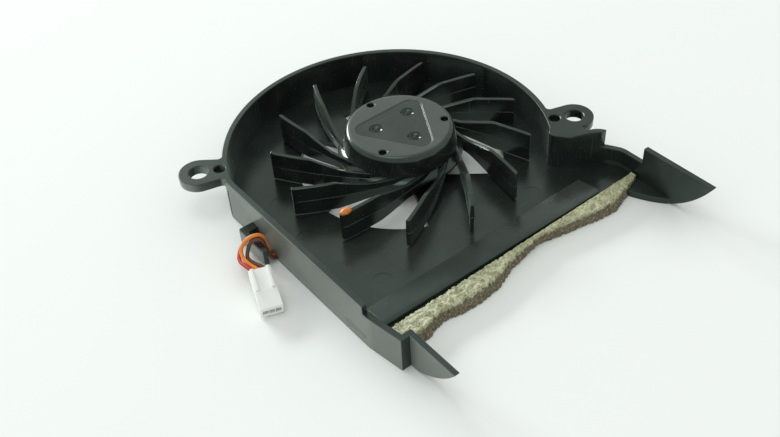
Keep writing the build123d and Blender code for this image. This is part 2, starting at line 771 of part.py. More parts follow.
groove_r = SHAFT_R - SHAFT_GROOVE
shaft_top_z = HUB_TOP_Z - SHAFT_CAP - PRESS_GAP
shaft_section = section(
    (0, PAD_TOP_Z),
    (SHAFT_R, PAD_TOP_Z),
    (SHAFT_R, WASHER_LOW_Z - SHAFT_GAP),
    (groove_r, WASHER_LOW_Z - SHAFT_GAP),
    (groove_r, WASHER_TOP_Z + SHAFT_GAP),
    (SHAFT_R, WASHER_TOP_Z + SHAFT_GAP),
    (SHAFT_R, shaft_top_z),
    (0, shaft_top_z),
)
with BuildPart() as shaft:
    revolve(shaft_section, axis=Axis.Z)
shaft.part.label = "shaft"
export_step(shaft.part, "parts/shaft.step")

# Bearing: tube, thrust pad, retaining washer and sleeve
with BuildPart() as bearing_tube:
    revolve(ring_section(TUBE_BORE_R, TUBE_R, BOSS_FLOOR, TUBE_TOP_Z), axis=Axis.Z)
bearing_tube.part.label = "bearing_tube"
export_step(bearing_tube.part, "parts/bearing_tube.step")

tube_fill_r = TUBE_BORE_R - PRESS_GAP
with BuildPart() as thrust_pad:
    revolve(ring_section(0, tube_fill_r, BOSS_FLOOR, PAD_TOP_Z), axis=Axis.Z)
thrust_pad.part.label = "thrust_pad"
export_step(thrust_pad.part, "parts/thrust_pad.step")

with BuildPart() as retaining_washer:
    revolve(ring_section(groove_r + SHAFT_GAP, tube_fill_r, WASHER_LOW_Z, WASHER_TOP_Z), axis=Axis.Z)
retaining_washer.part.label = "retaining_washer"
export_step(retaining_washer.part, "parts/retaining_washer.step")

with BuildPart() as sleeve_bearing:
    revolve(ring_section(SHAFT_R + SHAFT_GAP, tube_fill_r, WASHER_TOP_Z, SLEEVE_TOP_Z), axis=Axis.Z)
sleeve_bearing.part.label = "sleeve_bearing"
export_step(sleeve_bearing.part, "parts/sleeve_bearing.step")

# Stator: laminated core between two insulators, with a coil on each pole
with BuildSketch() as stack_plan:
    Circle(STACK_RING_R)
    with BuildSketch(mode=Mode.PRIVATE) as shoes_plan:
        Circle(STACK_R)
        Circle(STACK_R - POLE_SHOE_T, mode=Mode.SUBTRACT)
        with BuildLine():
            Polyline(
                (0, 0),
                polar(2 * STACK_R, -POLE_SHOE_SPAN / 2),
                polar(2 * STACK_R, POLE_SHOE_SPAN / 2),
                close=True,
            )
        make_face(mode=Mode.INTERSECT)
    with PolarLocations(0, POLE_COUNT):
        add(shoes_plan.sketch)
        Rectangle(STACK_R - POLE_SHOE_T / 2, POLE_NECK_W, align=(Align.MIN, Align.CENTER))
    Circle(STACK_BORE_R, mode=Mode.SUBTRACT)

STATOR_LAYERS = (
    ("lower_insulator", BOSS_TOP_Z, INSULATOR_T),
    ("stator_core", STACK_LOW_Z, STACK_T),
    ("upper_insulator", STACK_TOP_Z, INSULATOR_T),
)
for layer_name, layer_z, layer_t in STATOR_LAYERS:
    with BuildPart() as layer:
        with BuildSketch(Plane.XY.offset(layer_z)):
            add(stack_plan.sketch)
        extrude(amount=layer_t)
    layer.part.label = layer_name
    export_step(layer.part, f"parts/{layer_name}.step")

coil_low_r = STACK_RING_R + SLIDE_GAP
coil_half_w = POLE_NECK_W / 2 + COIL_T
coil_top_r = sqrt((STACK_R - POLE_SHOE_T) ** 2 - coil_half_w**2) - SLIDE_GAP
coil_mid_z = (BOSS_TOP_Z + STATOR_TOP_Z) / 2
neck_h = STACK_T + 2 * INSULATOR_T
for pole in range(POLE_COUNT):
    pole_angle = pole * 360 / POLE_COUNT
    pole_out = Vector(*polar(1, pole_angle), 0)
    coil_plane = Plane(
        origin=pole_out * coil_low_r + Vector(0, 0, coil_mid_z),
        x_dir=(0, 0, 1),
        z_dir=pole_out,
    )
    with BuildPart() as coil:
        with BuildSketch(coil_plane):
            RectangleRounded(neck_h + 2 * COIL_T, 2 * coil_half_w, COIL_ROUND)
            Rectangle(neck_h + 2 * PRESS_GAP, POLE_NECK_W + 2 * PRESS_GAP, mode=Mode.SUBTRACT)
        extrude(amount=coil_top_r - coil_low_r)
    coil.part.label = f"coil_{pole + 1}"
    export_step(coil.part, f"parts/coil_{pole + 1}.step")

# Circuit board on the motor base, with its driver chip and two small parts
with BuildPart() as circuit_board:
    with BuildSketch(Plane.XY.offset(BASE_T)):
        Circle(BOARD_R)
        Circle(BOSS_R + PRESS_GAP, mode=Mode.SUBTRACT)
    extrude(amount=BOARD_T)
circuit_board.part.label = "circuit_board"
export_step(circuit_board.part, "parts/circuit_board.step")

BOARD_PARTS = (
    ("driver_chip", CHIP_SIZE),
    ("chip_capacitor", CAPACITOR_SIZE),
    ("chip_resistor", RESISTOR_SIZE),
)
for (chip_name, chip_size), chip_angle in zip(BOARD_PARTS, CHIP_ANGLES):
    chip_place = polar(CHIP_RING_R, chip_angle)
    with BuildPart() as chip:
        with Locations(Location((*chip_place, BOARD_TOP_Z), (0, 0, chip_angle + 90))):
            Box(*chip_size, align=(Align.CENTER, Align.CENTER, Align.MIN))
    chip.part.label = chip_name
    export_step(chip.part, f"parts/{chip_name}.step")

# Connector: a moulded body with three cavities, a key rib and latch windows
plug_axis = Vector(
    PLUG_HEADING[0] * cos(radians(PLUG_SLOPE)),
    PLUG_HEADING[1] * cos(radians(PLUG_SLOPE)),
    -sin(radians(PLUG_SLOPE)) * hypot(*PLUG_HEADING),
).normalized()
plug_across = Vector(PLUG_HEADING[1], -PLUG_HEADING[0], 0).normalized()
plug_plane = Plane(origin=PLUG_FACE, x_dir=plug_across, z_dir=plug_axis)
plug_up = plug_plane.y_dir.Z / abs(plug_plane.y_dir.Z)
cavity_places = [((i - 1) * PLUG_PITCH, 0) for i in range(3)]
with BuildPart() as connector_housing:
    with BuildSketch(plug_plane):
        RectangleRounded(PLUG_W, PLUG_T, PLUG_ROUND)
    extrude(amount=PLUG_L)
    for side in (-1, 1):
        with BuildSketch(plug_plane):
            with Locations((side * (PLUG_W / 2 - PLUG_KEY_W), plug_up * PLUG_T / 2)):
                Rectangle(PLUG_KEY_W, 2 * PLUG_KEY_H)
        extrude(amount=PLUG_KEY_L)
    with BuildSketch(plug_plane):
        with Locations(*cavity_places):
            Rectangle(PLUG_CAVITY, PLUG_CAVITY)
    extrude(amount=PLUG_L, mode=Mode.SUBTRACT)
    window_plane = Plane(
        origin=plug_plane.from_local_coords((0, 0, PLUG_WINDOW_AT)),
        x_dir=plug_across,
        z_dir=plug_plane.y_dir * -plug_up,
    )
    with BuildSketch(window_plane):
        with Locations(*cavity_places):
            Rectangle(PLUG_WINDOW_W, PLUG_WINDOW_L)
    extrude(amount=PLUG_T, mode=Mode.SUBTRACT)
connector_housing.part.label = "connector_housing"
export_step(connector_housing.part, "parts/connector_housing.step")

socket_w = PLUG_CAVITY - 2 * SLIDE_GAP
with BuildPart() as crimp_terminals:
    with BuildSketch(plug_plane.offset(TERMINAL_INSET)):
        with Locations(*cavity_places):
            Circle(BARREL_R)
    extrude(amount=BARREL_L)
    with BuildSketch(plug_plane.offset(TERMINAL_INSET + BARREL_L)):
        with Locations(*cavity_places):
            Rectangle(socket_w, socket_w)
    extrude(amount=SOCKET_L)
    with BuildSketch(plug_plane.offset(TERMINAL_INSET + BARREL_L + SOCKET_WALL)):
        with Locations(*cavity_places):
            Rectangle(socket_w - 2 * SOCKET_WALL, socket_w - 2 * SOCKET_WALL)
    extrude(amount=SOCKET_L, mode=Mode.SUBTRACT)
crimp_terminals.part.label = "crimp_terminals"
export_step(crimp_terminals.part, "parts/crimp_terminals.step")


def lead_points(place):
    """The route of one lead: the middle route moved sideways, and outwards for the middle lead, which rides on
    the other two over the hook, then straight in to its own terminal."""
    points = []
    nested = 1 - 2 * abs(place)
    for (x, y, z), (side_x, side_y), (out_x, out_z) in zip(LEAD_ROUTE, LEAD_SIDES, LEAD_NEST):
        point = Vector(x + nested * out_x, y, z + nested * out_z)
        points.append(point + Vector(side_x, side_y, 0) * place * LEAD_PITCH)
    for depth in (-PLUG_ENTRY, TERMINAL_INSET):
        points.append(plug_plane.from_local_coords(Vector(place * PLUG_PITCH, 0, depth)))
    return points


def corner_radii(points):
    """The largest tangent arc that each corner's two runs leave room for."""
    radii = []
    for before, corner, after in zip(points, points[1:], points[2:]):
        arriving = corner - before
        leaving = after - corner
        half_turn = radians(arriving.get_angle(leaving)) / 2
        radii.append(LEAD_ARC_SHARE * min(arriving.length, leaving.length) / tan(half_turn))
    return radii


# Leads: three insulated wires, side by side in the groove, over the hook and into the connector
for lead_name, lead_place in (("red_wire", 1), ("orange_wire", 0), ("brown_wire", -1)):
    route = lead_points(lead_place)
    radii = corner_radii(route)
    with BuildPart() as lead:
        with BuildLine() as lead_line:
            FilletPolyline(*route, radius=radii)
        with BuildSketch(Plane(origin=lead_line.line @ 0, z_dir=lead_line.line % 0)):
            Circle(LEAD_D / 2)
        sweep()
    lead.part.label = lead_name
    export_step(lead.part, f"parts/{lead_name}.step")
    lead_length = lead_line.wire().length
    tube_volume = lead_length * pi * LEAD_D**2 / 4
    print(lead_name, "length", round(lead_length, 2))
    print(lead_name, "volume", round(lead.part.volume, 3), "section times length", round(tube_volume, 3))
    print(lead_name, "radii", [round(radius, 2) for radius in radii])

# Foam strip, torn to an uneven width, against the front of the lip
foam_left_x = LEFT_FIN_IN_X + FOAM_END_GAP
foam_right_x = FIN_X - FOAM_END_GAP
foam_step = (foam_right_x - foam_left_x) / (len(FOAM_DEPTHS) - 1)
foam_edge = [(foam_left_x + i * foam_step, LIP_Y - depth) for i, depth in enumerate(FOAM_DEPTHS)]
with BuildPart() as foam_strip:
    with BuildSketch(Plane.XY.offset(FOAM_LOW_Z)):
        with BuildLine():
            Spline(*foam_edge)
            Polyline(
                foam_edge[-1],
                (foam_right_x, LIP_Y),
                (foam_left_x, LIP_Y),
                foam_edge[0],
            )
        make_face()
    extrude(amount=FOAM_T)
    add(wings_solid.part, mode=Mode.SUBTRACT)
foam_strip.part.label = "foam_strip"
export_step(foam_strip.part, "parts/foam_strip.step")
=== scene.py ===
# %% [markdown]
# # A laptop blower fan with its cover off
# The CAD model comes in first, as a fixed frame. Every piece made below is in metres in that same frame, so
# nothing has to be fitted afterwards. Shapes are easier to think of in millimetres, so they are modelled in
# millimetres and brought to metres when a piece is finished.

# %% Load the frame
from math import atan2, copysign, cos, degrees, hypot, radians, sin, sqrt, tan, tau

import bmesh
import bpy
from mathutils import Matrix, Vector, noise


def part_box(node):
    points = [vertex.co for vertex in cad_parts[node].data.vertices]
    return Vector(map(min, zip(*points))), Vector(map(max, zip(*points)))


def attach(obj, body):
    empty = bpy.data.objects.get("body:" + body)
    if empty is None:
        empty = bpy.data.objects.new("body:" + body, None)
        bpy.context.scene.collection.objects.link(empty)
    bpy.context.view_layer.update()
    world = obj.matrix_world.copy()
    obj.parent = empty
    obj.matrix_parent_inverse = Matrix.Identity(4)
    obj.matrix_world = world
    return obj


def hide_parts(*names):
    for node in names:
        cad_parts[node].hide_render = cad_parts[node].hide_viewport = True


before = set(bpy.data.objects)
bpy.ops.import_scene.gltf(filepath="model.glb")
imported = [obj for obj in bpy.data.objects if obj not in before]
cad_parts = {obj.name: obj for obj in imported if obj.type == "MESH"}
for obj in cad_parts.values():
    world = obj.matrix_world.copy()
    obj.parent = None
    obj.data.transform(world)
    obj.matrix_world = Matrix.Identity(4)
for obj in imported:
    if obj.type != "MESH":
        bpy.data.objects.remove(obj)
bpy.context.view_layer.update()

MM = 0.001

# %% [markdown]
# ## Camera
# The photograph looks down on the fan from the front left, from about 19 cm away. The circles of the hub,
# the blade tips and the scroll gave the camera's place, so it is set by its place, its line of sight and
# its up.

# %% Camera
CAMERA_PLACE = Vector((-91.34, -121.38, 122.88))
CAMERA_SIGHT = Vector((0.4351, 0.6019, -0.6696))
CAMERA_UP = Vector((0.4446, 0.5031, 0.7411))
LENS = 45.74
SENSOR = 36.0
CLIP_START = 0.005

camera_data = bpy.data.cameras.new("camera")
camera_data.lens = LENS
camera_data.sensor_width = SENSOR
camera_data.sensor_fit = "HORIZONTAL"
camera_data.clip_start = CLIP_START
camera = bpy.data.objects.new("camera", camera_data)
back = -CAMERA_SIGHT.normalized()
right = CAMERA_UP.cross(back).normalized()
up = back.cross(right)
camera_turn = Matrix((right, up, back)).transposed().to_4x4()
camera.matrix_world = Matrix.Translation(CAMERA_PLACE * MM) @ camera_turn
bpy.context.scene.collection.objects.link(camera)
bpy.context.scene.camera = camera
bpy.context.scene.view_settings.view_transform = "Standard"
print("camera", [round(value, 1) for value in CAMERA_PLACE])

# %% [markdown]
# ## Shader maths
# A finish is a material and its node tree. The first class below wraps one output socket and turns Python's
# operators into Math nodes, so a roughness can be written as `0.4 + 0.1 * cloud`. The second holds the
# material and has one method that adds any other node. Patterns are placed by Object coordinates, brought
# to millimetres, so a scale in a finish is a real size on the part.


# %% Shader maths
class Tone:
    """An output socket whose operators add Math nodes to the finish it belongs to."""

    def __init__(self, finish, socket):
        self.finish = finish
        self.socket = socket

    def combine(self, operation, first, second):
        return self.finish.node("ShaderNodeMath", {"operation": operation}, {0: first, 1: second})

    def __add__(self, other):
        return self.combine("ADD", self, other)

    def __sub__(self, other):
        return self.combine("SUBTRACT", self, other)

    def __rsub__(self, other):
        return self.combine("SUBTRACT", other, self)

    def __mul__(self, other):
        return self.combine("MULTIPLY", self, other)

    __radd__ = __add__
    __rmul__ = __mul__


class Finish:
    """A material whose nodes are added by node(), with short forms for the patterns used most."""

    def __init__(self, name, color, roughness, **sockets):
        self.material = bpy.data.materials.new(name)
        self.material.use_nodes = True
        self.tree = self.material.node_tree
        self.shader = self.tree.nodes["Principled BSDF"]
        object_place = self.node("ShaderNodeTexCoord", output="Object")
        to_mm = {0: object_place, "Scale": 1 / MM}
        self.place = self.node("ShaderNodeVectorMath", {"operation": "SCALE"}, to_mm)
        self.feed(Base_Color=(*color, 1.0), Roughness=roughness, **sockets)

    def node(self, kind, settings=None, inputs=None, output=0):
        made = self.tree.nodes.new(kind)
        for key, value in (settings or {}).items():
            setattr(made, key, value)
        for key, value in (inputs or {}).items():
            self.join(made.inputs[key], value)
        return Tone(self, made.outputs[output])

    def join(self, socket, value):
        if isinstance(value, Tone):
            self.tree.links.new(value.socket, socket)
        else:
            socket.default_value = value

    def feed(self, **sockets):
        for key, value in sockets.items():
            self.join(self.shader.inputs[key.replace("_", " ")], value)

    def clouds(self, size, detail, place=None):
        """Soft noise from 0 to 1 in lumps of about this many millimetres."""
        inputs = {"Vector": place or self.place, "Scale": 1 / size, "Detail": detail}
        return self.node("ShaderNodeTexNoise", None, inputs)

    def cells(self, size):
        """Distance to the nearest of many scattered points, in cells of this size."""
        return self.node("ShaderNodeTexVoronoi", None, {"Vector": self.place, "Scale": 1 / size})

    def scaled(self, scale, turn=0.0):
        """Places turned in plan and scaled, so that noise on them becomes streaks."""
        inputs = {"Vector": self.place, "Rotation": (0, 0, radians(turn)), "Scale": scale}
        return self.node("ShaderNodeMapping", None, inputs)

    def along(self, axis):
        """The place along one axis of the object, in millimetres."""
        return self.node("ShaderNodeSeparateXYZ", None, {0: self.place}, output=axis)

    def band(self, value, low, high):
        """0 below low, 1 above high, and a smooth step between."""
        inputs = {"Value": value, "From Min": low, "From Max": high}
        return self.node("ShaderNodeMapRange", {"interpolation_type": "SMOOTHSTEP"}, inputs)

    def within(self, axis, low, high, ease=0.2):
        """1 inside a range along an axis, 0 outside it, with a short step at both ends."""
        value = self.along(axis)
        return self.band(value, low - ease, low + ease) * self.band(value, high + ease, high - ease)

    def mixed(self, share, first, second):
        """A colour between two others."""
        colors = [value if isinstance(value, Tone) else (*value, 1.0) for value in (first, second)]
        inputs = {"Factor": share, 6: colors[0], 7: colors[1]}
        return self.node("ShaderNodeMix", {"data_type": "RGBA"}, inputs, output=2)

    def bump(self, height, depth):
        """Relief of a depth in millimetres, from a height of 0 to 1."""
        inputs = {"Height": height, "Distance": depth * MM, "Strength": 1.0}
        self.feed(Normal=self.node("ShaderNodeBump", None, inputs))


def shade(color, factor):
    """A colour made darker or paler."""
    return [factor * part for part in color]


print("patterns are scaled by", 1 / MM, "to millimetres")

# %% [markdown]
# ## Table and light
# The fan lies on a plain white table in a bright room. Black plastic shows what it mirrors: its level faces
# catch the pale room, its outer side mirrors the table, and what faces the other black parts stays dark. So
# there is an even dome, a low window straight behind the fan, which throws the shadows forward and draws
# bright lines on the edges that lean back, and a lamp under the ceiling at the left.

# %% Table and light
TABLE_SIZE = 3.0
TABLE_DROP = 0.00002
TABLE_COLOR = (0.9, 0.92, 0.9)
TABLE_ROUGH = 0.9
TABLE_GRAIN = 0.4
TABLE_GRAIN_DEPTH = 0.004
DOME_COLOR = (0.97, 1.0, 0.98)
DOME_STRENGTH = 0.68
LAMPS = (
    ("window", Vector((-0.1, 1.42, 0.475)), 0.9, 0.25, 17.0),
    ("ceiling", Vector((-0.2, 0.1, 1.2)), 0.7, 0.7, 2.0),
)

table_shape = bmesh.new()
bmesh.ops.create_grid(table_shape, x_segments=1, y_segments=1, size=TABLE_SIZE / 2)
bmesh.ops.translate(table_shape, verts=table_shape.verts, vec=(0, 0, -TABLE_DROP))
table_mesh = bpy.data.meshes.new("table")
table_shape.to_mesh(table_mesh)
table_shape.free()
table = bpy.data.objects.new("table", table_mesh)
bpy.context.scene.collection.objects.link(table)
table_finish = Finish("white_table", TABLE_COLOR, TABLE_ROUGH)
table_finish.bump(table_finish.clouds(TABLE_GRAIN, 3.0), TABLE_GRAIN_DEPTH)
table_mesh.materials.append(table_finish.material)

world = bpy.data.worlds.new("dome")
bpy.context.scene.world = world
world.use_nodes = True
dome = world.node_tree.nodes["Background"]
dome.inputs["Color"].default_value = (*DOME_COLOR, 1.0)
dome.inputs["Strength"].default_value = DOME_STRENGTH

for lamp_name, lamp_place, lamp_width, lamp_height, lamp_power in LAMPS:
    lamp_data = bpy.data.lights.new(lamp_name, "AREA")
    lamp_data.shape = "ELLIPSE"
    lamp_data.size = lamp_width
    lamp_data.size_y = lamp_height
    lamp_data.energy = lamp_power
    lamp_data.color = DOME_COLOR
    lamp = bpy.data.objects.new(lamp_name, lamp_data)
    lamp_turn = lamp_place.to_track_quat("Z", "Y").to_matrix().to_4x4()
    lamp.matrix_world = Matrix.Translation(lamp_place) @ lamp_turn
    bpy.context.scene.collection.objects.link(lamp)
print("dome", DOME_STRENGTH, "lamps", [lamp[0] for lamp in LAMPS])

# %% [markdown]
# ## Connector's place
# The leads end in a small white connector, which lies on the table beside the fan with its nose down. Its
# own plane is needed before the leads are laid: x across the three ways, y up through the ribs, z towards
# the nose.

# %% Connector's place
PLUG_FACE = Vector((-38.74, -9.42, 2.95))
PLUG_HEADING = Vector((-0.335, -0.943, 0.0)).normalized()
PLUG_SLOPE = radians(11.3)
PLUG_PITCH = 1.1

plug_axis = PLUG_HEADING * cos(PLUG_SLOPE) - Vector((0, 0, sin(PLUG_SLOPE)))
plug_across = Vector((PLUG_HEADING.y, -PLUG_HEADING.x, 0.0))
plug_up = plug_axis.cross(plug_across)
plug_turn = Matrix((plug_across, plug_up, plug_axis)).transposed().to_4x4()
plug_frame = Matrix.Translation(PLUG_FACE) @ plug_turn
print("connector's up", [round(value, 3) for value in plug_up])

# %% [markdown]
# ## Leads
# Three thin insulated wires leave the motor in a groove under a strut, pass out through the foot of the
# side wall, loop over the moulded hook and turn down into the connector. Each is one NURBS curve with a
# round bevel: the curve pulls away from its points in smooth bends, as soft wire does, so the route needs
# few points.

# %% Leads
LEAD_D = 0.7
LEAD_PITCH = 0.76
PLUG_ENTRY = 0.45
TERMINAL_INSET = 1.3
LEAD_ROUND = 5
LEAD_SMOOTH = 16
LEAD_ROUTE = (
    ((-5.2, 5.3, 0.42), (-0.35, 0.94), (0.0, 0.0)),
    ((-13.4, 2.35, 0.42), (-0.35, 0.94), (0.0, 0.0)),
    ((-21.6, -0.69, 0.42), (-0.35, 0.94), (0.0, 0.0)),
    ((-27.9, -3.08, 0.42), (-0.35, 0.94), (0.0, 0.0)),
    ((-31.9, -4.67, 0.42), (-0.3, 0.95), (0.0, 0.0)),
    ((-34.4, -5.55, 0.55), (-0.1, 0.99), (0.0, 0.0)),
    ((-34.45, -4.85, 3.0), (0.0, 0.8), (0.34, 0.0)),
    ((-34.75, -4.3, 5.5), (0.0, 0.72), (0.2, 0.3)),
    ((-36.85, -3.5, 5.5), (0.0, 0.66), (-0.15, 0.3)),
    ((-38.4, -3.4, 3.9), (-0.56, 0.78), (-0.3, 0.32)),
    ((-39.35, -4.8, 3.1), (-0.98, 0.28), (0.0, 0.26)),
    ((-39.2, -7.0, 3.1), (-0.98, 0.1), (0.0, 0.0)),
)
LEADS = (
    ("red_wire", 1, 47.3, (0.5, 0.035, 0.025)),
    ("orange_wire", 0, 48.0, (0.85, 0.25, 0.03)),
    ("brown_wire", -1, 46.8, (0.13, 0.05, 0.03)),
)


def lead_points(place):
    """The route of one lead, up to its own terminal. A row of LEAD_ROUTE is a place on the middle line, the
    direction to the next lead, and how far out the middle lead rides on the other two over the hook."""
    points = []
    nested = 1 - 2 * abs(place)
    for (x, y, z), (side_x, side_y), (out_x, out_z) in LEAD_ROUTE:
        point = Vector((x + nested * out_x, y, z + nested * out_z))
        points.append(point + Vector((side_x, side_y, 0)) * place * LEAD_PITCH)
    for depth in (-PLUG_ENTRY, TERMINAL_INSET):
        points.append(plug_frame @ Vector((place * PLUG_PITCH, 0, depth)))
    return points


def lead_finish(name, color):
    """Soft coloured insulation with a faint waxy unevenness."""
    finish = Finish(name, color, 0.4)
    cloud = finish.clouds(0.8, 3.0)
    finish.feed(Base_Color=finish.mixed(cloud, shade(color, 0.8), shade(color, 1.15)))
    finish.feed(Roughness=0.32 + 0.2 * cloud)
    finish.bump(cloud, 0.02)
    return finish.material


for lead_name, lead_place, lead_length, lead_color in LEADS:
    curve = bpy.data.curves.new(lead_name, "CURVE")
    curve.dimensions = "3D"
    curve.bevel_depth = LEAD_D / 2 * MM
    curve.bevel_resolution = LEAD_ROUND
    curve.resolution_u = LEAD_SMOOTH
    curve.use_fill_caps = True
    spline = curve.splines.new("NURBS")
    route = lead_points(lead_place)
    spline.points.add(len(route) - 1)
    for point, place in zip(spline.points, route):
        point.co = (*(place * MM), 1.0)
    spline.order_u = 3
    spline.use_endpoint_u = True
    curve.materials.append(lead_finish(lead_name.replace("wire", "insulation"), lead_color))
    lead = bpy.data.objects.new(lead_name + "_laid", curve)
    bpy.context.scene.collection.objects.link(lead)
    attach(lead, "fan_frame")
    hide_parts(lead_name)

# %% [markdown]
# ## Tools of the bench
# Most of the fan is injection-moulded, so its parts are modelled like mouldings: plain blocks, discs and
# turned shapes that are joined and cut, then given the small round edges that a mould leaves. Each helper
# below is one such tool. Shapes stay bmeshes in millimetres until `piece` makes them an object.

# %% Points in plan and blocks
WELD = 0.0005
FLAT = radians(0.3)
LEVEL_TURN = radians(0.5)
LEVEL = 0.99999
BROAD = 12.0
SHARP = radians(38)
OVER = 1.0


def polar(radius, angle, centre=(0.0, 0.0)):
    """The point at a radius and an angle in degrees about a centre."""
    return Vector((centre[0] + radius * cos(radians(angle)), centre[1] + radius * sin(radians(angle))))


def arc(centre, radius, start, end, count):
    """Points of a circle's arc, ends included, between two angles in degrees."""
    return [polar(radius, start + (end - start) * step / count, centre) for step in range(count + 1)]


def slab(points, travel):
    """A block swept straight along travel from a flat outline."""
    shape = bmesh.new()
    face = shape.faces.new([shape.verts.new(point) for point in points])
    swept = bmesh.ops.extrude_face_region(shape, geom=[face])
    moved = [item for item in swept["geom"] if isinstance(item, bmesh.types.BMVert)]
    bmesh.ops.translate(shape, verts=moved, vec=travel)
    bmesh.ops.recalc_face_normals(shape, faces=shape.faces)
    return shape


def raised(outline, low, top):
    """A block that stands on an outline of plan points."""
    return slab([(x, y, low) for x, y in outline], (0, 0, top - low))


def box(low, high):
    """A square block between two corners."""
    (left, front, bottom), (right, back, top) = low, high
    return raised([(left, front), (right, front), (right, back), (left, back)], bottom, top)


def disc(centre, radius, low, top, segments=96):
    """A round block with an upright axis."""
    shape = bmesh.new()
    bmesh.ops.create_cone(
        shape,
        cap_ends=True,
        segments=segments,
        radius1=radius,
        radius2=radius,
        depth=top - low,
        matrix=Matrix.Translation((*centre, (low + top) / 2)),
    )
    return shape


print("a quarter circle in three points:", [point.to_tuple(2) for point in arc((0, 0), 1.0, 0, 90, 2)])

# %% [markdown]
# Round parts are made as on a lathe: an outline of radius and height is spun about an upright axis. A spin
# leaves a seam and a pole, so doubles are merged, and the normals are then made to face outwards.


# %% Turned and stretched shapes
def drill(centre, radius, low, top, ease=0.0, segments=48):
    """A round cutter that ends above a surface at top, with a slight flare that eases the hole's mouth."""
    above = top + radius
    mouth = [(radius, low), (radius, top - ease), (radius + ease, top), (radius + ease, above)]
    return turned([(0, low), *mouth, (0, above)], segments, centre)


def turned(outline, steps, centre=(0.0, 0.0)):
    """A shape turned about an upright axis, from points of (radius, height) that begin and end on it."""
    shape = bmesh.new()
    ring = [shape.verts.new((centre[0] + radius, centre[1], z)) for radius, z in outline]
    edges = [shape.edges.new(pair) for pair in zip(ring, ring[1:])]
    bmesh.ops.spin(
        shape,
        geom=ring + edges,
        cent=(*centre, 0),
        axis=(0, 0, 1),
        angle=tau,
        steps=steps,
        use_merge=True,
    )
    bmesh.ops.remove_doubles(shape, verts=shape.verts, dist=WELD)
    bmesh.ops.recalc_face_normals(shape, faces=shape.faces)
    return shape


def banded(rounds, low, top, flare=0.0, segments=64):
    """The shape of a band stretched round several discs, given as (centre, radius). It flares to its top."""
    shape = bmesh.new()
    for centre, radius in rounds:
        for z, reach in ((low, radius), (top, radius + flare)):
            place = Matrix.Translation((*centre, z))
            bmesh.ops.create_circle(shape, segments=segments, radius=reach, matrix=place)
    made = bmesh.ops.convex_hull(shape, input=shape.verts)
    spare = [item for item in made["geom_interior"] if isinstance(item, bmesh.types.BMVert)]
    bmesh.ops.delete(shape, geom=spare, context="VERTS")
    bmesh.ops.dissolve_limit(shape, angle_limit=LEVEL_TURN, verts=shape.verts, edges=shape.edges)
    bmesh.ops.recalc_face_normals(shape, faces=shape.faces)
    return shape


print("points closer than", WELD, "mm are merged")

# %% [markdown]
# Boolean modifiers join and cut shapes cleanly when both are closed. They leave splinters, so doubles,
# slivers and needless points are cleared after each round of steps. Then the edges that a mould would round
# are bevelled.


# %% Joining, cutting and rounding
def mesh_of(shape):
    """A mesh with the shape's faces. The bmesh is freed."""
    mesh = bpy.data.meshes.new("shape")
    shape.to_mesh(mesh)
    shape.free()
    return mesh


def evaluated(blanks):
    """The first blank's shape with its modifiers applied. The blanks are removed."""
    for blank in blanks:
        bpy.context.scene.collection.objects.link(blank)
    shape = bmesh.new()
    shape.from_object(blanks[0], bpy.context.evaluated_depsgraph_get())
    for blank in blanks:
        mesh = blank.data
        bpy.data.objects.remove(blank)
        bpy.data.meshes.remove(mesh)
    return shape


def worked(base, *steps):
    """The base after its Boolean steps, each an operation and the shape that it uses."""
    blanks = [bpy.data.objects.new("blank", mesh_of(base))]
    for operation, tool in steps:
        blanks.append(bpy.data.objects.new("tool", mesh_of(tool)))
        modifier = blanks[0].modifiers.new("step", "BOOLEAN")
        modifier.operation = operation
        modifier.solver = "EXACT"
        modifier.object = blanks[-1]
    shape = evaluated(blanks)
    bmesh.ops.remove_doubles(shape, verts=shape.verts, dist=WELD)
    bmesh.ops.dissolve_degenerate(shape, edges=shape.edges, dist=WELD)
    wires = [edge for edge in shape.edges if edge.is_wire]
    bmesh.ops.delete(shape, geom=wires, context="EDGES")
    bmesh.ops.dissolve_limit(shape, angle_limit=FLAT, verts=shape.verts, edges=[])
    return shape


def soften(shape, width, wanted=lambda edge: True, segments=3, least=SHARP):
    """Rounds the outer edges that turn by more than the least angle."""
    sharp = []
    for edge in shape.edges:
        outer = len(edge.link_faces) == 2 and edge.is_convex
        if outer and edge.calc_face_angle() > least and wanted(edge):
            sharp.append(edge)
    bmesh.ops.bevel(
        shape,
        geom=sharp,
        offset=width,
        offset_type="OFFSET",
        affect="EDGES",
        segments=segments,
        profile=0.5,
        material=-1,
        clamp_overlap=False,
    )
    return len(sharp)


print("points on lines that bend by less than", round(degrees(FLAT), 1), "degrees are cleared")

# %% [markdown]
# A finished piece is shaded smooth where it curves, and gets its name and its finish. The frame's calls say
# which body it rides on and which CAD node it stands for.


# %% A finished piece
def piece(name, shape, body, finish, nodes, sharp=SHARP):
    """Brings a shape to metres and makes it a piece that rides on a body and stands for CAD nodes. Faces that
    the Boolean steps left twice in one place are taken out once."""
    bmesh.ops.scale(shape, vec=(MM, MM, MM), verts=shape.verts)
    shape.normal_update()
    for face in shape.faces:
        face.smooth = abs(face.normal.z) < LEVEL and face.calc_area() < BROAD * MM**2
    mesh = mesh_of(shape)
    mesh.validate()
    mesh.name = name
    mesh.set_sharp_from_angle(angle=sharp)
    mesh.materials.append(finish.material)
    made = bpy.data.objects.new(name, mesh)
    bpy.context.scene.collection.objects.link(made)
    weighted = made.modifiers.new("even_normals", "WEIGHTED_NORMAL")
    weighted.keep_sharp = True
    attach(made, body)
    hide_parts(*nodes)
    print(name, len(mesh.polygons), "faces")
    return made


print("edges count as sharp from", round(degrees(SHARP)), "degrees")

# %% [markdown]
# ## Black plastic
# Housing and impeller are black moulded plastic with a glossy skin. Up close the skin is never even: the
# resin flowed, dust settled, and a cleaning cloth left hairlines. Each of these is one pattern at its own
# scale.

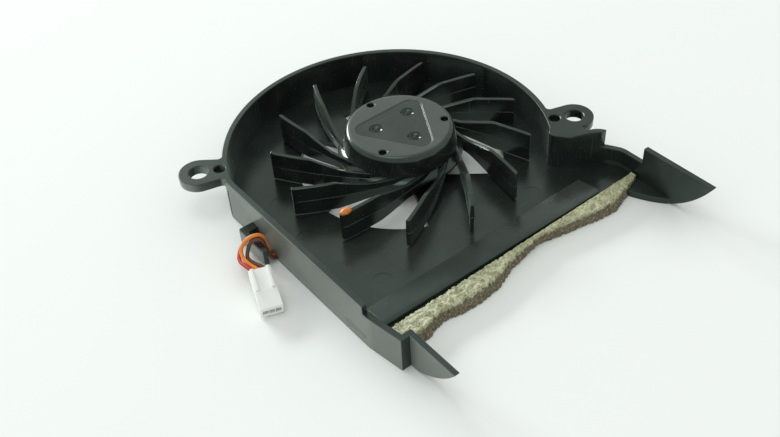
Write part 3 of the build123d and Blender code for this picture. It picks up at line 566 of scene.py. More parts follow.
# %% Black plastic
PLASTIC_IOR = 1.64
SHEEN_TINT = (0.76, 1.0, 0.88, 1.0)
SHEEN_ROUGH = 0.2
DUST_SHEEN = 0.4
# pale colour of the dust, and of the painted reflection on the housing
DUST_AND_REFLECTION_COLOR = (0.3, 0.32, 0.29)
CRUMB_COLOR = (0.23, 0.22, 0.11)
STREAK_LENGTH = 14.0
STREAK_WIDTH = 0.22


def black_plastic(name, color, rough, streak_turn, dust_and_reflection, matte, crumbs=None):
    """Glossy black moulding: uneven sheen, a fine grain, hairlines, dust, and the painted reflection that
    the function for pale places adds on the housing.
    """
    finish = Finish(name, color, rough, IOR=PLASTIC_IOR, Specular_Tint=SHEEN_TINT)
    finish.feed(Sheen_Weight=DUST_SHEEN, Sheen_Roughness=SHEEN_ROUGH, Sheen_Tint=SHEEN_TINT)
    flow = finish.clouds(9.0, 3.0)
    grain = finish.clouds(0.16, 2.0)
    drawn_out = finish.scaled((1 / STREAK_LENGTH, 1 / STREAK_WIDTH, 1 / STREAK_LENGTH), streak_turn)
    hairlines = finish.band(finish.clouds(1.0, 2.0, drawn_out), 0.66, 0.74)
    specks = finish.band(finish.clouds(0.3, 1.0), 0.74, 0.77)
    haze = finish.band(finish.clouds(6.0, 4.0), 0.4, 0.75)
    paler = finish.mixed(flow, shade(color, 0.75), shade(color, 1.3))
    # dust, hairlines and specks, and on the housing a painted reflection, as shares of the pale colour
    marks_and_reflection = 0.05 * haze + 0.08 * hairlines + 0.3 * specks + dust_and_reflection(finish)
    skin = finish.mixed(marks_and_reflection, paler, DUST_AND_REFLECTION_COLOR)
    if crumbs:
        skin = finish.mixed(crumbs(finish), skin, CRUMB_COLOR)
    finish.feed(Base_Color=skin)
    finish.feed(Roughness=rough + 0.1 * flow + 0.06 * grain + 0.25 * specks + matte(finish))
    finish.bump(grain + 0.25 * hairlines, 0.004)
    return finish


print("hairlines of", STREAK_LENGTH, "by", STREAK_WIDTH, "mm")

# %% [markdown]
# Wear isn't the same all over. Dust lies on the floor, hands and cloths rub the rim and the fins, and crumbs
# of the foam stick in a corner. The outer side at the left and the right end of the ramp are painted paler
# too, as a painted reflection of the bright table and room that they mirror. These places are ranges of
# millimetres along the object's own axes, so they stay where they are when the part is turned.

# %% Dust, wear and painted reflection by place
# painted reflection: the outer side at the left is painted paler, as the bright table it mirrors
SIDE_PAINTED_REFLECTION = 0.5
SIDE_FACING = (-0.35, -0.9)
SIDE_FADE_X = (-24.0, -28.0)
FLOOR_DUST = 0.045
FLOOR_Z = (1.0, 1.3)
FLOOR_FADE_X = (16.0, -10.0)
FLOOR_FRONT_Y = (-27.15, -27.1)
FLOOR_BACK_Y = (-2.0, -16.0)
RAMP_Z = (1.45, 2.35)
RAMP_Y = (-32.7, -27.15)
# painted reflection: the ramp's right end is painted paler, as the brighter room it mirrors there
RAMP_PAINTED_REFLECTION = 0.08
RAMP_REFLECTION_X = (-8.0, 20.0)
RAMP_MATTE = 0.3
RAMP_MATTE_X = (5.0, -15.0)
RIM_MATTE = 0.16
RIM_MATTE_Z = (8.1, 8.3)
FIN_MATTE = 0.24
FIN_MATTE_Y = (-33.4, -34.4)
CRUMBS_X = (-32.6, -29.4)
CRUMBS_Y = (-37.0, -28.0)
CRUMBS_Z = (1.0, 2.0)
HUB_TOP_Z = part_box("impeller")[1].z / MM
HUB_DUST = 0.13
HUB_DUST_Z = (HUB_TOP_Z - 0.13, HUB_TOP_Z - 0.03)
RECESS_DUST = 0.06
RECESS_DUST_Z = (HUB_TOP_Z - 0.25, HUB_TOP_Z - 0.18)
SLOPE_MATTE = 0.6
SLOPE_Z = (HUB_TOP_Z - 0.12, HUB_TOP_Z - 0.03)


def on_ramp(finish):
    """1 on the raised strip before the outlet."""
    return finish.within("Z", *RAMP_Z, 0.05) * finish.within("Y", *RAMP_Y, 0.05)


def housing_dust_and_reflection(finish):
    """Dust on the floor, fading out to the back and to the right, and a painted reflection: the outer side at
    the left is painted paler as the table it mirrors, and the ramp's right end as the room it mirrors.
    """
    facing = finish.node("ShaderNodeTexCoord", output="Normal")
    across = finish.node("ShaderNodeSeparateXYZ", None, {0: facing}, output="X")
    x, y = finish.along("X"), finish.along("Y")
    # painted reflection: faces turned to the left are painted paler, as the bright table that they mirror
    side = SIDE_PAINTED_REFLECTION * finish.band(across, *SIDE_FACING) * finish.band(x, *SIDE_FADE_X)
    floor = FLOOR_DUST * finish.within("Z", *FLOOR_Z, 0.05) * finish.band(x, *FLOOR_FADE_X)
    fade = finish.band(y, *FLOOR_FRONT_Y) * finish.band(y, *FLOOR_BACK_Y)
    # painted reflection on the ramp's right end, where it mirrors a brighter part of the room
    return side + floor * fade + RAMP_PAINTED_REFLECTION * on_ramp(finish) * finish.band(x, *RAMP_REFLECTION_X)


def housing_matte(finish):
    """Rougher where hands and cloths rub: on top of the rim, on the fins and to the left on the ramp."""
    rim = RIM_MATTE * finish.band(finish.along("Z"), *RIM_MATTE_Z)
    fins = FIN_MATTE * finish.band(finish.along("Y"), *FIN_MATTE_Y)
    return rim + fins + RAMP_MATTE * on_ramp(finish) * finish.band(finish.along("X"), *RAMP_MATTE_X)


def foam_crumbs_left(finish):
    """Crumbs of foam that stuck in the channel between the left wall and the ramp."""
    channel = finish.within("X", *CRUMBS_X) * finish.within("Y", *CRUMBS_Y)
    low = finish.within("Z", *CRUMBS_Z, 0.1)
    return low * channel * finish.band(finish.clouds(0.8, 4.0), 0.35, 0.6)


def hub_dust(finish):
    """Dust on top of the hub, and less of it in the recess."""
    z = finish.along("Z")
    return HUB_DUST * finish.band(z, *HUB_DUST_Z) + RECESS_DUST * finish.band(z, *RECESS_DUST_Z)


def hub_matte(finish):
    """Rougher along the sloping edge of the hub's recess."""
    return SLOPE_MATTE * finish.within("Z", *SLOPE_Z, 0.02)


HOUSING_COLOR = (0.0095, 0.0118, 0.0108)
HOUSING_ROUGH = 0.16
HOUSING_STREAKS = 35.0
IMPELLER_COLOR = (0.0085, 0.0102, 0.0095)
IMPELLER_ROUGH = 0.14
IMPELLER_STREAKS = -20.0
housing_finish = black_plastic(
    "housing_plastic",
    HOUSING_COLOR,
    HOUSING_ROUGH,
    HOUSING_STREAKS,
    housing_dust_and_reflection,
    housing_matte,
    foam_crumbs_left,
)
impeller_finish = black_plastic(
    "impeller_plastic", IMPELLER_COLOR, IMPELLER_ROUGH, IMPELLER_STREAKS, hub_dust, hub_matte
)
print("plastics", housing_finish.material.name, impeller_finish.material.name)

# %% [markdown]
# ## Housing
# The housing is one moulding: a floor with the intake opening, the scroll wall that closes in on the
# impeller at the tongue, two screw ears, two fins that guide the air out, and the motor base on three
# struts. It is built as the mould was: the plan shapes are raised to their heights and joined, and the
# openings are cut afterwards.

# %% Sizes of the housing
housing_low, housing_high = (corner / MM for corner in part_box("housing"))
RIM_Z = housing_high.z
FLOOR = 1.2
WALL = 1.1
TIP_R = 25.0
TIP_GAP = 1.8
SCROLL = (-3.5, -1.2)
SCROLL_R = TIP_R + TIP_GAP + WALL + hypot(*SCROLL)
SCROLL_IN_R = SCROLL_R - WALL
SIDE_FLAT = 1.7
BEND_R = 3.5
SIDE_X = SCROLL[0] - SCROLL_R + SIDE_FLAT
SIDE_IN_X = SIDE_X + WALL
CREASE_Y = SCROLL[1] + sqrt(SCROLL_R**2 - (SCROLL_R - SIDE_FLAT) ** 2)
LIP_Y = -TIP_R - 8.0
TONGUE = polar(TIP_R + 2.9, -45.5)
BLOCK = TONGUE + Vector((2.65, -3.4))
STEP = TONGUE + Vector((8.2, -5.7))
FIN_X = STEP.x + 1.9
FIN_OUT_X = FIN_X + WALL
BEND_Y = STEP.y - 3.8
FIN_ROOT_Y = STEP.y - 9.0
END_X = SIDE_X + 1.1
END_Y = LIP_Y - 7.4
LEFT_FIN_X = END_X + 1.8
LEFT_FIN_IN_X = LEFT_FIN_X + WALL
NOTCH_RIGHT_Z = RIM_Z - 3.4
NOTCH_LEFT_Z = RIM_Z - 1.6
NOTCH_LEFT_RUN = 1.0
EAR_ANGLES = (153.6, -29.5)
EAR_T = 1.8
INTAKE_R = 20.0
STRUT_ANGLES = (-39.5, 80.5, 200.5)
STRUT_OFFSET = 6.8
STRUT_W = 4.0
print("housing", [round(value, 2) for value in housing_low], [round(value, 2) for value in housing_high])

# %% [markdown]
# The walls follow a line in plan, so the line comes first: arcs through three points, corners rounded to a
# radius, and a lane of even width along the result.


# %% Lines in plan
def bearing(point):
    """The direction of a point as seen from the scroll's centre, in degrees."""
    return degrees(atan2(point[1] - SCROLL[1], point[0] - SCROLL[0]))


def circle_through(start, middle, end):
    """The centre and radius of the circle through three points of a plane."""
    (ax, ay), (bx, by), (cx, cy) = start, middle, end
    double = 2 * (ax * (by - cy) + bx * (cy - ay) + cx * (ay - by))
    square_a, square_b, square_c = ax * ax + ay * ay, bx * bx + by * by, cx * cx + cy * cy
    ux = (square_a * (by - cy) + square_b * (cy - ay) + square_c * (ay - by)) / double
    uy = (square_a * (cx - bx) + square_b * (ax - cx) + square_c * (bx - ax)) / double
    return Vector((ux, uy)), hypot(ax - ux, ay - uy)


def through_arc(start, middle, end, count):
    """Points of the short arc through three points of a plane."""
    centre, radius = circle_through(start, middle, end)
    first = degrees(atan2(start[1] - centre.y, start[0] - centre.x))
    last = degrees(atan2(end[1] - centre.y, end[0] - centre.x))
    span = (last - first + 180) % 360 - 180
    return arc(centre, radius, first, first + span, count)


def bent_line(points, radius, count=6):
    """A line of plan points with each corner rounded to a radius."""
    line = [Vector(points[0])]
    for before, corner, after in zip(points, points[1:], points[2:]):
        corner = Vector(corner)
        back, ahead = (Vector(before) - corner).normalized(), (Vector(after) - corner).normalized()
        half = back.angle(ahead) / 2
        run = radius / tan(half)
        centre = corner + (back + ahead).normalized() * (radius / sin(half))
        middle = centre + (corner - centre).normalized() * radius
        line.extend(through_arc(corner + back * run, middle, corner + ahead * run, count))
    line.append(Vector(points[-1]))
    return line


def lane(line, width):
    """The outline of a wall of even width along a line of plan points."""
    sides = []
    for index in range(len(line)):
        heading = (line[min(index + 1, len(line) - 1)] - line[max(index - 1, 0)]).normalized()
        sides.append(Vector((-heading.y, heading.x)) * width / 2)
    left = [point + side for point, side in zip(line, sides)]
    right = [point - side for point, side in zip(line, sides)]
    return [*left, *reversed(right)]


print("a bend has", len(bent_line([(0, 0), (1, 0), (1, 1)], 0.2)) - 2, "points")

# %% [markdown]
# Floor, wall and tongue block are outlines in plan, raised to their heights. The block thickens the corner
# where the scroll comes closest to the impeller.

# %% Floor, walls and tongue
RIM_STEPS = 150
NOSE_STEPS = 8
LAP = 0.5


def rim_arc(radius, end):
    """Points of the scroll's circle from the tongue, past the right ear, to a bearing near the crease."""
    nose = arc(SCROLL, radius, bearing(TONGUE), EAR_ANGLES[1], NOSE_STEPS)
    return [*nose, *arc(SCROLL, radius, EAR_ANGLES[1], end, RIM_STEPS)[1:]]


outer_rim = rim_arc(SCROLL_R, bearing((SIDE_X, CREASE_Y)))
inner_crease = SCROLL[1] + sqrt(SCROLL_IN_R**2 - (SIDE_IN_X - SCROLL[0]) ** 2)
inner_rim = rim_arc(SCROLL_IN_R, bearing((SIDE_IN_X, inner_crease)))


def housing_floor():
    """The floor: round under the scroll, then straight out to the lip."""
    outline = [
        *outer_rim[NOSE_STEPS:],
        (SIDE_X, LIP_Y),
        (FIN_OUT_X, LIP_Y),
        (FIN_OUT_X, BEND_Y),
        (STEP.x, STEP.y + WALL),
    ]
    return raised(outline, 0, FLOOR)


def scroll_wall():
    """The wall from the tongue round the scroll, along the flat side and in to the root of the left fin."""
    left_end = [
        (SIDE_X, LIP_Y),
        (END_X, END_Y),
        (LEFT_FIN_IN_X, END_Y),
        (LEFT_FIN_IN_X, END_Y + WALL),
        (END_X + WALL, END_Y + WALL),
        (SIDE_IN_X, LIP_Y),
    ]
    return raised([*outer_rim, *left_end, *reversed(inner_rim)], 0, RIM_Z)


BLOCK_EAR_TURN = 5.0
BLOCK_NOSE_TURN = 6.0
BLOCK_OUTLINE = [
    TONGUE,
    BLOCK,
    STEP + Vector((-2 * WALL, WALL)),
    STEP + Vector((-WALL, 2 * WALL)),
    polar(SCROLL_R - LAP, EAR_ANGLES[1] + BLOCK_EAR_TURN, SCROLL),
    polar(SCROLL_IN_R + LAP, bearing(TONGUE) + BLOCK_NOSE_TURN, SCROLL),
]
NOSE_RUN = 1.6
NOSE_FACETS = 8


def tongue_block():
    """The thick corner beside the outlet, with a round nose where the scroll meets the impeller."""
    shape = raised(BLOCK_OUTLINE, 0, RIM_Z)
    nose = []
    for edge in shape.edges:
        if all((Vector(vert.co.xy) - TONGUE).length < WELD for vert in edge.verts):
            nose.append(edge)
    bmesh.ops.bevel(
        shape,
        geom=nose,
        offset=NOSE_RUN,
        affect="EDGES",
        segments=NOSE_FACETS,
        profile=0.5,
        material=-1,
        clamp_overlap=False,
    )
    return shape


def inset(outline, distance):
    """An outline drawn in by a distance, with its corners kept sharp."""
    points = []
    for before, corner, after in zip([outline[-1], *outline], outline, [*outline[1:], outline[0]]):
        back, ahead = (before - corner).normalized(), (after - corner).normalized()
        points.append(corner + (back + ahead) * distance / ahead.cross(back))
    return points


print("rim", len(outer_rim), "points outside and", len(inner_rim), "inside")

# %% [markdown]
# The two fins stand in the plane of their walls. Each has a flat top, a sharp tip and a belly that sweeps
# back to the floor, so its outline is drawn in that plane and swept through the wall's thickness.

# %% Fins and wings
FIN_FOOT_Y = LIP_Y - 9.0
FIN_BELLY_STEPS = 14
FIN_BELLY_SAG = 1.1


def fin(x, root_y, tip_y, top):
    """One outlet fin, from its root on the wall to its tip."""
    belly = ((FIN_FOOT_Y + tip_y) / 2, top / 2 - FIN_BELLY_SAG)
    lower = through_arc((tip_y, top), belly, (FIN_FOOT_Y, 0), FIN_BELLY_STEPS)
    outline = [(root_y, 0), (root_y, top), *lower]
    return slab([(x, y, z) for y, z in outline], (WALL, 0, 0))


WING_REACH = 4.6
WING_BOW = 3.0
WING_BOW_RUN = 4.5
WING_STEPS = 12


def wing(inner_x, reach, end_y, bow):
    """A web of floor that runs out along the foot of a fin in a shallow curve."""
    edge = through_arc((inner_x + reach, LIP_Y), bow, (inner_x, end_y), WING_STEPS)
    back_y = LIP_Y + LAP
    return raised([*edge, (inner_x - copysign(LAP, reach), back_y), (inner_x + reach, back_y)], 0, FLOOR)


def wings(operation):
    """A Boolean step for the wing at the right fin and one for that at the left."""
    right_bow = (FIN_X - WING_BOW, LIP_Y - WING_BOW_RUN)
    left_bow = (LEFT_FIN_IN_X + WING_BOW, (LIP_Y + END_Y) / 2)
    right_wing = wing(FIN_X, -WING_REACH, FIN_FOOT_Y, right_bow)
    left_wing = wing(LEFT_FIN_IN_X, WING_REACH, END_Y, left_bow)
    return [(operation, right_wing), (operation, left_wing)]


print("the fins' feet are", LIP_Y - FIN_FOOT_Y, "mm past the lip")

# %% [markdown]
# A low ramp crosses the floor before the outlet, and a hook on the outer side holds the leads.

# %% Ramp and hook
RAMP_FRONT_Y = LIP_Y + 0.5
RAMP_BACK_Y = RAMP_FRONT_Y + 5.3
RAMP_LEFT_X = SIDE_IN_X + 2.8
RAMP_RIGHT_X = FIN_X - 8.6
RAMP_BACK_RISE = 0.3
RAMP_CREST_RISE = 1.0
RAMP_CREST_RUN = 0.9
RAMP_FRONT_RISE = 0.7


def ramp():
    """The raised strip across the floor before the outlet: a gentle rise and a short bevel down."""
    outline = [
        (RAMP_BACK_Y, FLOOR / 2),
        (RAMP_BACK_Y, FLOOR + RAMP_BACK_RISE),
        (RAMP_FRONT_Y + RAMP_CREST_RUN, FLOOR + RAMP_CREST_RISE),
        (RAMP_FRONT_Y, FLOOR + RAMP_FRONT_RISE),
        (RAMP_FRONT_Y, FLOOR / 2),
    ]
    return slab([(RAMP_LEFT_X, y, z) for y, z in outline], (RAMP_RIGHT_X - RAMP_LEFT_X, 0, 0))


HOOK_IN_X = SIDE_X - 2.0
HOOK_OUT_X = HOOK_IN_X - 1.0
HOOK_FRONT_Y = -7.0
HOOK_BACK_Y = 1.0
HOOK_LOW_Z = 0.9
HOOK_TOP_Z = 4.2
HOOK_EDGE = 0.4
ARM_FRONT_Y = -0.8
ARM_LOW_Z = 1.6
ARM_LAP = 0.2


def hook_bar():
    """The bar that the leads pass under and over, with round outer edges."""
    shape = box((HOOK_OUT_X, HOOK_FRONT_Y, HOOK_LOW_Z), (HOOK_IN_X, HOOK_BACK_Y, HOOK_TOP_Z))
    soften(shape, HOOK_EDGE, lambda edge: all(vert.co.x < HOOK_OUT_X + WELD for vert in edge.verts), 4)
    return shape


def hook_arm():
    """The arm that holds the bar's back end to the side wall."""
    return box((HOOK_IN_X - ARM_LAP, ARM_FRONT_Y, ARM_LOW_Z), (SIDE_X + ARM_LAP, HOOK_BACK_Y, HOOK_TOP_Z))


print("hook", HOOK_BACK_Y - HOOK_FRONT_Y, "mm long")

# %% [markdown]
# The screw ears flow into the rim in hollow curves, which keeps a moulded ear from cracking at its root.

# %% Screw ears
EAR_REACH = 4.4
EAR_R = 3.7
EAR_ROOT_R = 2.8
EAR_NECK_R = 0.8
RIM_BITE = 0.03
EAR_STEPS = 24
EAR_NECK_STEPS = 8


def ear_outline(angle):
    """The eye of an ear, its straight sides, and the hollow curves by which they flow into the rim."""
    lean = (EAR_R - EAR_ROOT_R) / EAR_REACH
    side = Vector((-lean, sqrt(1 - lean**2)))
    eye = Vector((SCROLL_R + EAR_REACH, 0))
    reach = side.dot(eye) + EAR_R + EAR_NECK_R
    away = sqrt((SCROLL_R - RIM_BITE + EAR_NECK_R) ** 2 - reach**2)
    hollow = side * reach + Vector((side.y, -side.x)) * away
    turn = degrees(atan2(side.y, side.x))
    half = arc(eye, EAR_R, 0, turn, EAR_STEPS)
    hollow_end = degrees(atan2(-hollow.y, -hollow.x))
    half.extend(arc(hollow, EAR_NECK_R, turn - 180, hollow_end, EAR_NECK_STEPS))
    half.append(half[-1] * (SCROLL_R - WALL / 2) / SCROLL_R)
    other = [Vector((x, -y)) for x, y in reversed(half[1:])]
    turned_ear = [Matrix.Rotation(radians(angle), 2) @ point for point in [*half, *other]]
    return [Vector(SCROLL) + point for point in turned_ear]


ear_centres = [polar(SCROLL_R + EAR_REACH, angle, SCROLL) for angle in EAR_ANGLES]
print("ears at", [[round(value, 2) for value in centre] for centre in ear_centres])

# %% [markdown]
# The motor base is a shallow dish with a tall collar for the bearing. Three struts hold it in the intake
# opening, set off-centre so that they sweep with the air, and two webs of floor close the opening in part,
# one beside the front strut and one at the back. The leads run in a groove under one strut.

# %% Motor base and struts
BASE_R = 9.4
BASE_T = 0.8
COLLAR_R = 3.4
COLLAR_BORE_R = 2.62
COLLAR_TOP_Z = 2.5
COLLAR_FLOOR = 0.5
GROOVE_W = 2.7
GROOVE_START = 3.0
GROOVE_REACH = 60.0
BASE_STEPS = 96


def strut(angle, width, start, length, low, top):
    """A straight bar in plan that passes the rotor's axis at the struts' offset."""
    foot = polar(STRUT_OFFSET, angle - 90)
    heading = polar(1.0, angle)
    across = polar(width / 2, angle + 90)
    near = foot + heading * start
    far = foot + heading * length
    return raised([near - across, far - across, far + across, near + across], low, top)


WEB_IN_R = BASE_R - 1.4
WEB_OUT_R = INTAKE_R + 1.5
FRONT_WEB = (-114.5, -64.0)
BACK_WEB = (90.0, 117.0)
FRONT_WEB_STEPS = 12
BACK_WEB_STEPS = 8
INTAKE_STEPS = 160


def intake():
    """The round opening in the floor, less the two webs that close part of it."""
    foot = polar(STRUT_OFFSET, STRUT_ANGLES[0] - 90)
    heading = polar(1.0, STRUT_ANGLES[0])
    front_web = [
        polar(WEB_IN_R, FRONT_WEB[0]),
        *arc((0, 0), WEB_OUT_R, *FRONT_WEB, FRONT_WEB_STEPS),
        foot + heading * INTAKE_R,
        foot + heading * STRUT_W / 2,
    ]
    back_web = [
        polar(WEB_IN_R, BACK_WEB[0]),
        *arc((0, 0), WEB_OUT_R, *BACK_WEB, BACK_WEB_STEPS),
        polar(WEB_IN_R, BACK_WEB[1]),
    ]
    webs = [("DIFFERENCE", raised(web, -2 * OVER, FLOOR + OVER)) for web in (front_web, back_web)]
    return worked(disc((0, 0), INTAKE_R, -OVER, FLOOR + OVER / 4, INTAKE_STEPS), *webs)


def motor_base():
    """The dish under the motor and the collar that holds the bearing tube."""
    outline = [
        (0, 0),
        (BASE_R, 0),
        (BASE_R, BASE_T),
        (COLLAR_R, BASE_T),
        (COLLAR_R, COLLAR_TOP_Z),
        (COLLAR_BORE_R, COLLAR_TOP_Z),
        (COLLAR_BORE_R, COLLAR_FLOOR),
        (0, COLLAR_FLOOR),
    ]
    return turned(outline, BASE_STEPS)


print("motor base", 2 * BASE_R, "mm across in an intake of", 2 * INTAKE_R)

# %% [markdown]
# Now the parts are joined: walls, fins, wings, ramp and ears are added to the floor in one run of Boolean
# steps, and the rim is notched beside the fins. Needless edges inside flat faces are dissolved, so that only
# real edges are left to be rounded.

# %% Shell of the housing
HOUSING_EDGE = 0.16
UNDERSIDE_Z = 0.01
RIGHT_FIN_REACH = 17.1
LEFT_FIN_REACH = 17.9

right_line = [
    BLOCK + Vector((WALL / 2, WALL / 2)),
    STEP + Vector((0, WALL / 2)),
    (FIN_X + WALL / 2, BEND_Y),
    (FIN_X + WALL / 2, FIN_ROOT_Y - LAP),
]
right_wall = raised(lane(bent_line(right_line, BEND_R), WALL), 0, RIM_Z)
right_notch_low = (STEP.x, FIN_ROOT_Y, NOTCH_RIGHT_Z)
right_notch_high = (FIN_OUT_X + OVER, STEP.y - WALL / 2, RIM_Z + OVER)
left_notch_low = (SIDE_X - OVER, END_Y - OVER, NOTCH_LEFT_Z)
left_notch_high = (LEFT_FIN_IN_X + OVER, LIP_Y + NOTCH_LEFT_RUN, RIM_Z + OVER)
steps = [
    ("UNION", scroll_wall()),
    ("UNION", tongue_block()),
    ("UNION", right_wall),
    ("UNION", fin(FIN_X, FIN_ROOT_Y, LIP_Y - RIGHT_FIN_REACH, RIM_Z)),
    ("UNION", fin(LEFT_FIN_X, END_Y + LAP, LIP_Y - LEFT_FIN_REACH, NOTCH_LEFT_Z)),
    *wings("UNION"),
    ("UNION", ramp()),
    ("DIFFERENCE", box(right_notch_low, right_notch_high)),
    ("DIFFERENCE", box(left_notch_low, left_notch_high)),
]
for angle in EAR_ANGLES:
    steps.append(("UNION", raised(ear_outline(angle), RIM_Z - EAR_T, RIM_Z)))
shell = worked(housing_floor(), *steps)
bmesh.ops.dissolve_limit(shell, angle_limit=FLAT, verts=shell.verts, edges=shell.edges)
rounded = soften(shell, HOUSING_EDGE, lambda edge: max(vert.co.z for vert in edge.verts) > UNDERSIDE_Z)
print("shell's rounded edges", rounded)

# %% [markdown]
# The shell's edges are rounded before anything is cut, because a cut leaves short edges that are hard to
# round. The cutters for the holes are flared a little instead.

# %% Openings of the housing
EAR_HOLE_R = 1.8
HOLE_STEPS = 64
PIT_R = 1.1
PIT_SHIFT = 0.5
PIT_DEPTH = 1.2
PIN_MARK_R = 1.8
PIN_MARK_DEPTH = 0.05
PIN_MARKS = ((-26.8, -6.0), (-23.0, -23.6), (-25.3, 4.9), (12.0, -24.0))
CORE_WALL = 1.3
SEAM_W = 0.3
SEAM_DEPTH = 0.3

cuts = [("DIFFERENCE", intake())]
for angle in STRUT_ANGLES:
    cuts.append(("UNION", strut(angle, STRUT_W, 0, INTAKE_R, 0, FLOOR)))
cuts.append(("DIFFERENCE", disc((0, 0), BASE_R, BASE_T, FLOOR + OVER)))
cuts.append(("UNION", motor_base()))
cuts.append(("UNION", hook_bar()))
cuts.append(("UNION", hook_arm()))
for centre in ear_centres:
    hole = drill(centre, EAR_HOLE_R, RIM_Z - EAR_T - OVER, RIM_Z, HOUSING_EDGE, HOLE_STEPS)
    cuts.append(("DIFFERENCE", hole))
for angle in EAR_ANGLES:
    pit = polar(SCROLL_R + PIT_SHIFT, angle, SCROLL)
    cuts.append(("DIFFERENCE", drill(pit, PIT_R, RIM_Z - PIT_DEPTH, RIM_Z, HOUSING_EDGE)))
for mark in PIN_MARKS:
    cuts.append(("DIFFERENCE", drill(mark, PIN_MARK_R, FLOOR - PIN_MARK_DEPTH, FLOOR)))
cuts.append(("DIFFERENCE", strut(STRUT_ANGLES[2], GROOVE_W, GROOVE_START, GROOVE_REACH, -OVER, BASE_T)))
cuts.append(("DIFFERENCE", raised(inset(BLOCK_OUTLINE, CORE_WALL), -OVER, RIM_Z - EAR_T)))
seam_low = (SIDE_X - OVER, CREASE_Y - SEAM_W, BASE_T)
seam_high = (SIDE_X + SEAM_DEPTH, CREASE_Y, RIM_Z - EAR_T - SEAM_W)
cuts.append(("DIFFERENCE", box(seam_low, seam_high)))
housing_shape = worked(shell, *cuts)
piece("scroll_housing", housing_shape, "fan_frame", housing_finish, ["housing"])

# %% [markdown]
# ## Impeller
# Thirteen blades lean back from a cup-shaped hub. Each blade was drawn out of the mould up and down from a
# parting line at half its height, so it is thickest there. A cube is cut along its length and bent onto the
# blade's arc: x runs from tip to root, y through the thickness and z up.

# %% Blades
BLADE_COUNT = 13
BLADE_PHASE = 123.5
BLADE_LOW_Z = 1.6
BLADE_TOP_Z = 7.6
BLADE_T = 0.95
BLADE_DRAFT = radians(2.0)
BLADE_CUTS = 31
BLADE_EDGE = 0.1
PARTING_BAND = 0.03
PARTING_RIDGE = 0.05
BLADE_CORNER = radians(50)
BLADE_ROOT_TURN = 57.7
BLADE_MID_R = 15.6
BLADE_MID_TURN = 19.7
HUB_WALL_R = 10.1
HUB_BORE_R = 8.94
ROOT_BITE = 0.6
KINK_R = 18.2
NECK_R = 13.4
BLADE_SECTIONS = ((HUB_BORE_R, 1.4, 2.0), (NECK_R, 1.2, 1.8), (KINK_R, 0.0, 0.0), (TIP_R, 0.0, 0.0))

blade_mid_z = (BLADE_LOW_Z + BLADE_TOP_Z) / 2
blade_tip = Vector((TIP_R, 0))
blade_mid = polar(BLADE_MID_R, BLADE_MID_TURN)
blade_root = polar(HUB_WALL_R, BLADE_ROOT_TURN)
blade_centre, blade_radius = circle_through(blade_tip, blade_mid, blade_root)
tip_angle = atan2(-blade_centre.y, TIP_R - blade_centre.x)
root_angle = atan2(blade_root.y - blade_centre.y, blade_root.x - blade_centre.x) + ROOT_BITE / blade_radius
print("blade's arc, radius", round(blade_radius, 2), "mm")


def clamped(value):
    """A number kept between 0 and 1."""
    return min(1.0, max(0.0, value))


def blade_heights(radius):
    """How far the blade's lower edge rises and its upper edge drops at a radius."""
    for inner_section, outer_section in zip(BLADE_SECTIONS, BLADE_SECTIONS[1:]):
        inner, rise_in, drop_in = inner_section
        outer, rise_out, drop_out = outer_section
        if radius <= outer:
            break
    share = clamped((radius - inner) / (outer - inner))
    return rise_in + (rise_out - rise_in) * share, drop_in + (drop_out - drop_in) * share


def bend_to_blade(place):
    """Where a point of the straight blank goes: x from tip to root, y across and z up."""
    share = (place.x + 1) / 2
    angle = tip_angle + (root_angle - tip_angle) * share
    half = BLADE_T / 2 - tan(BLADE_DRAFT) * abs(place.z) * (BLADE_TOP_Z - blade_mid_z)
    plan = blade_centre + Vector((cos(angle), sin(angle))) * (blade_radius + place.y * half)
    if plan.length > TIP_R:
        plan *= TIP_R / plan.length
    rise, drop = blade_heights(plan.length)
    if place.z > 0:
        z = blade_mid_z + place.z * (BLADE_TOP_Z - drop - blade_mid_z)
    else:
        z = blade_mid_z + place.z * (blade_mid_z - BLADE_LOW_Z - rise)
    return Vector((plan.x, plan.y, z))


def impeller_blades():
    """All blades, copied round the axis from one."""
    shape = bmesh.new()
    bmesh.ops.create_cube(shape, size=2.0)
    for level in (-PARTING_BAND, 0, PARTING_BAND):
        everything = [*shape.verts, *shape.edges, *shape.faces]
        bmesh.ops.bisect_plane(shape, geom=everything, plane_co=(0, 0, level), plane_no=(0, 0, 1))
    lengthwise = [edge for edge in shape.edges if abs(edge.verts[0].co.x - edge.verts[1].co.x) > 1]
    bmesh.ops.subdivide_edges(shape, edges=lengthwise, cuts=BLADE_CUTS, use_grid_fill=True)
    for vert in shape.verts:
        vert.co = bend_to_blade(vert.co)
    bmesh.ops.recalc_face_normals(shape, faces=shape.faces)
    soften(shape, BLADE_EDGE, segments=2, least=BLADE_CORNER)
    shape.normal_update()
    for vert in shape.verts:
        if abs(vert.co.z - blade_mid_z) < WELD:
            vert.co += vert.normal * PARTING_RIDGE
    everything = [*shape.verts, *shape.edges, *shape.faces]
    turn = tau * (BLADE_COUNT - 1) / BLADE_COUNT
    bmesh.ops.spin(
        shape,
        geom=everything,
        cent=(0, 0, 0),
        axis=(0, 0, 1),
        angle=turn,
        steps=BLADE_COUNT - 1,
        use_duplicate=True,
    )
    start = Matrix.Rotation(radians(BLADE_PHASE), 3, "Z")
    bmesh.ops.rotate(shape, cent=(0, 0, 0), matrix=start, verts=shape.verts)
    return shape


# %% [markdown]
# The hub is a cup turned about the shaft, with a rounded top edge, a thin lip half-way down and a flared
# skirt below the lip. Its top carries a shallow three-cornered recess, three gate marks where the plastic
# flowed in, and three small balance pockets.

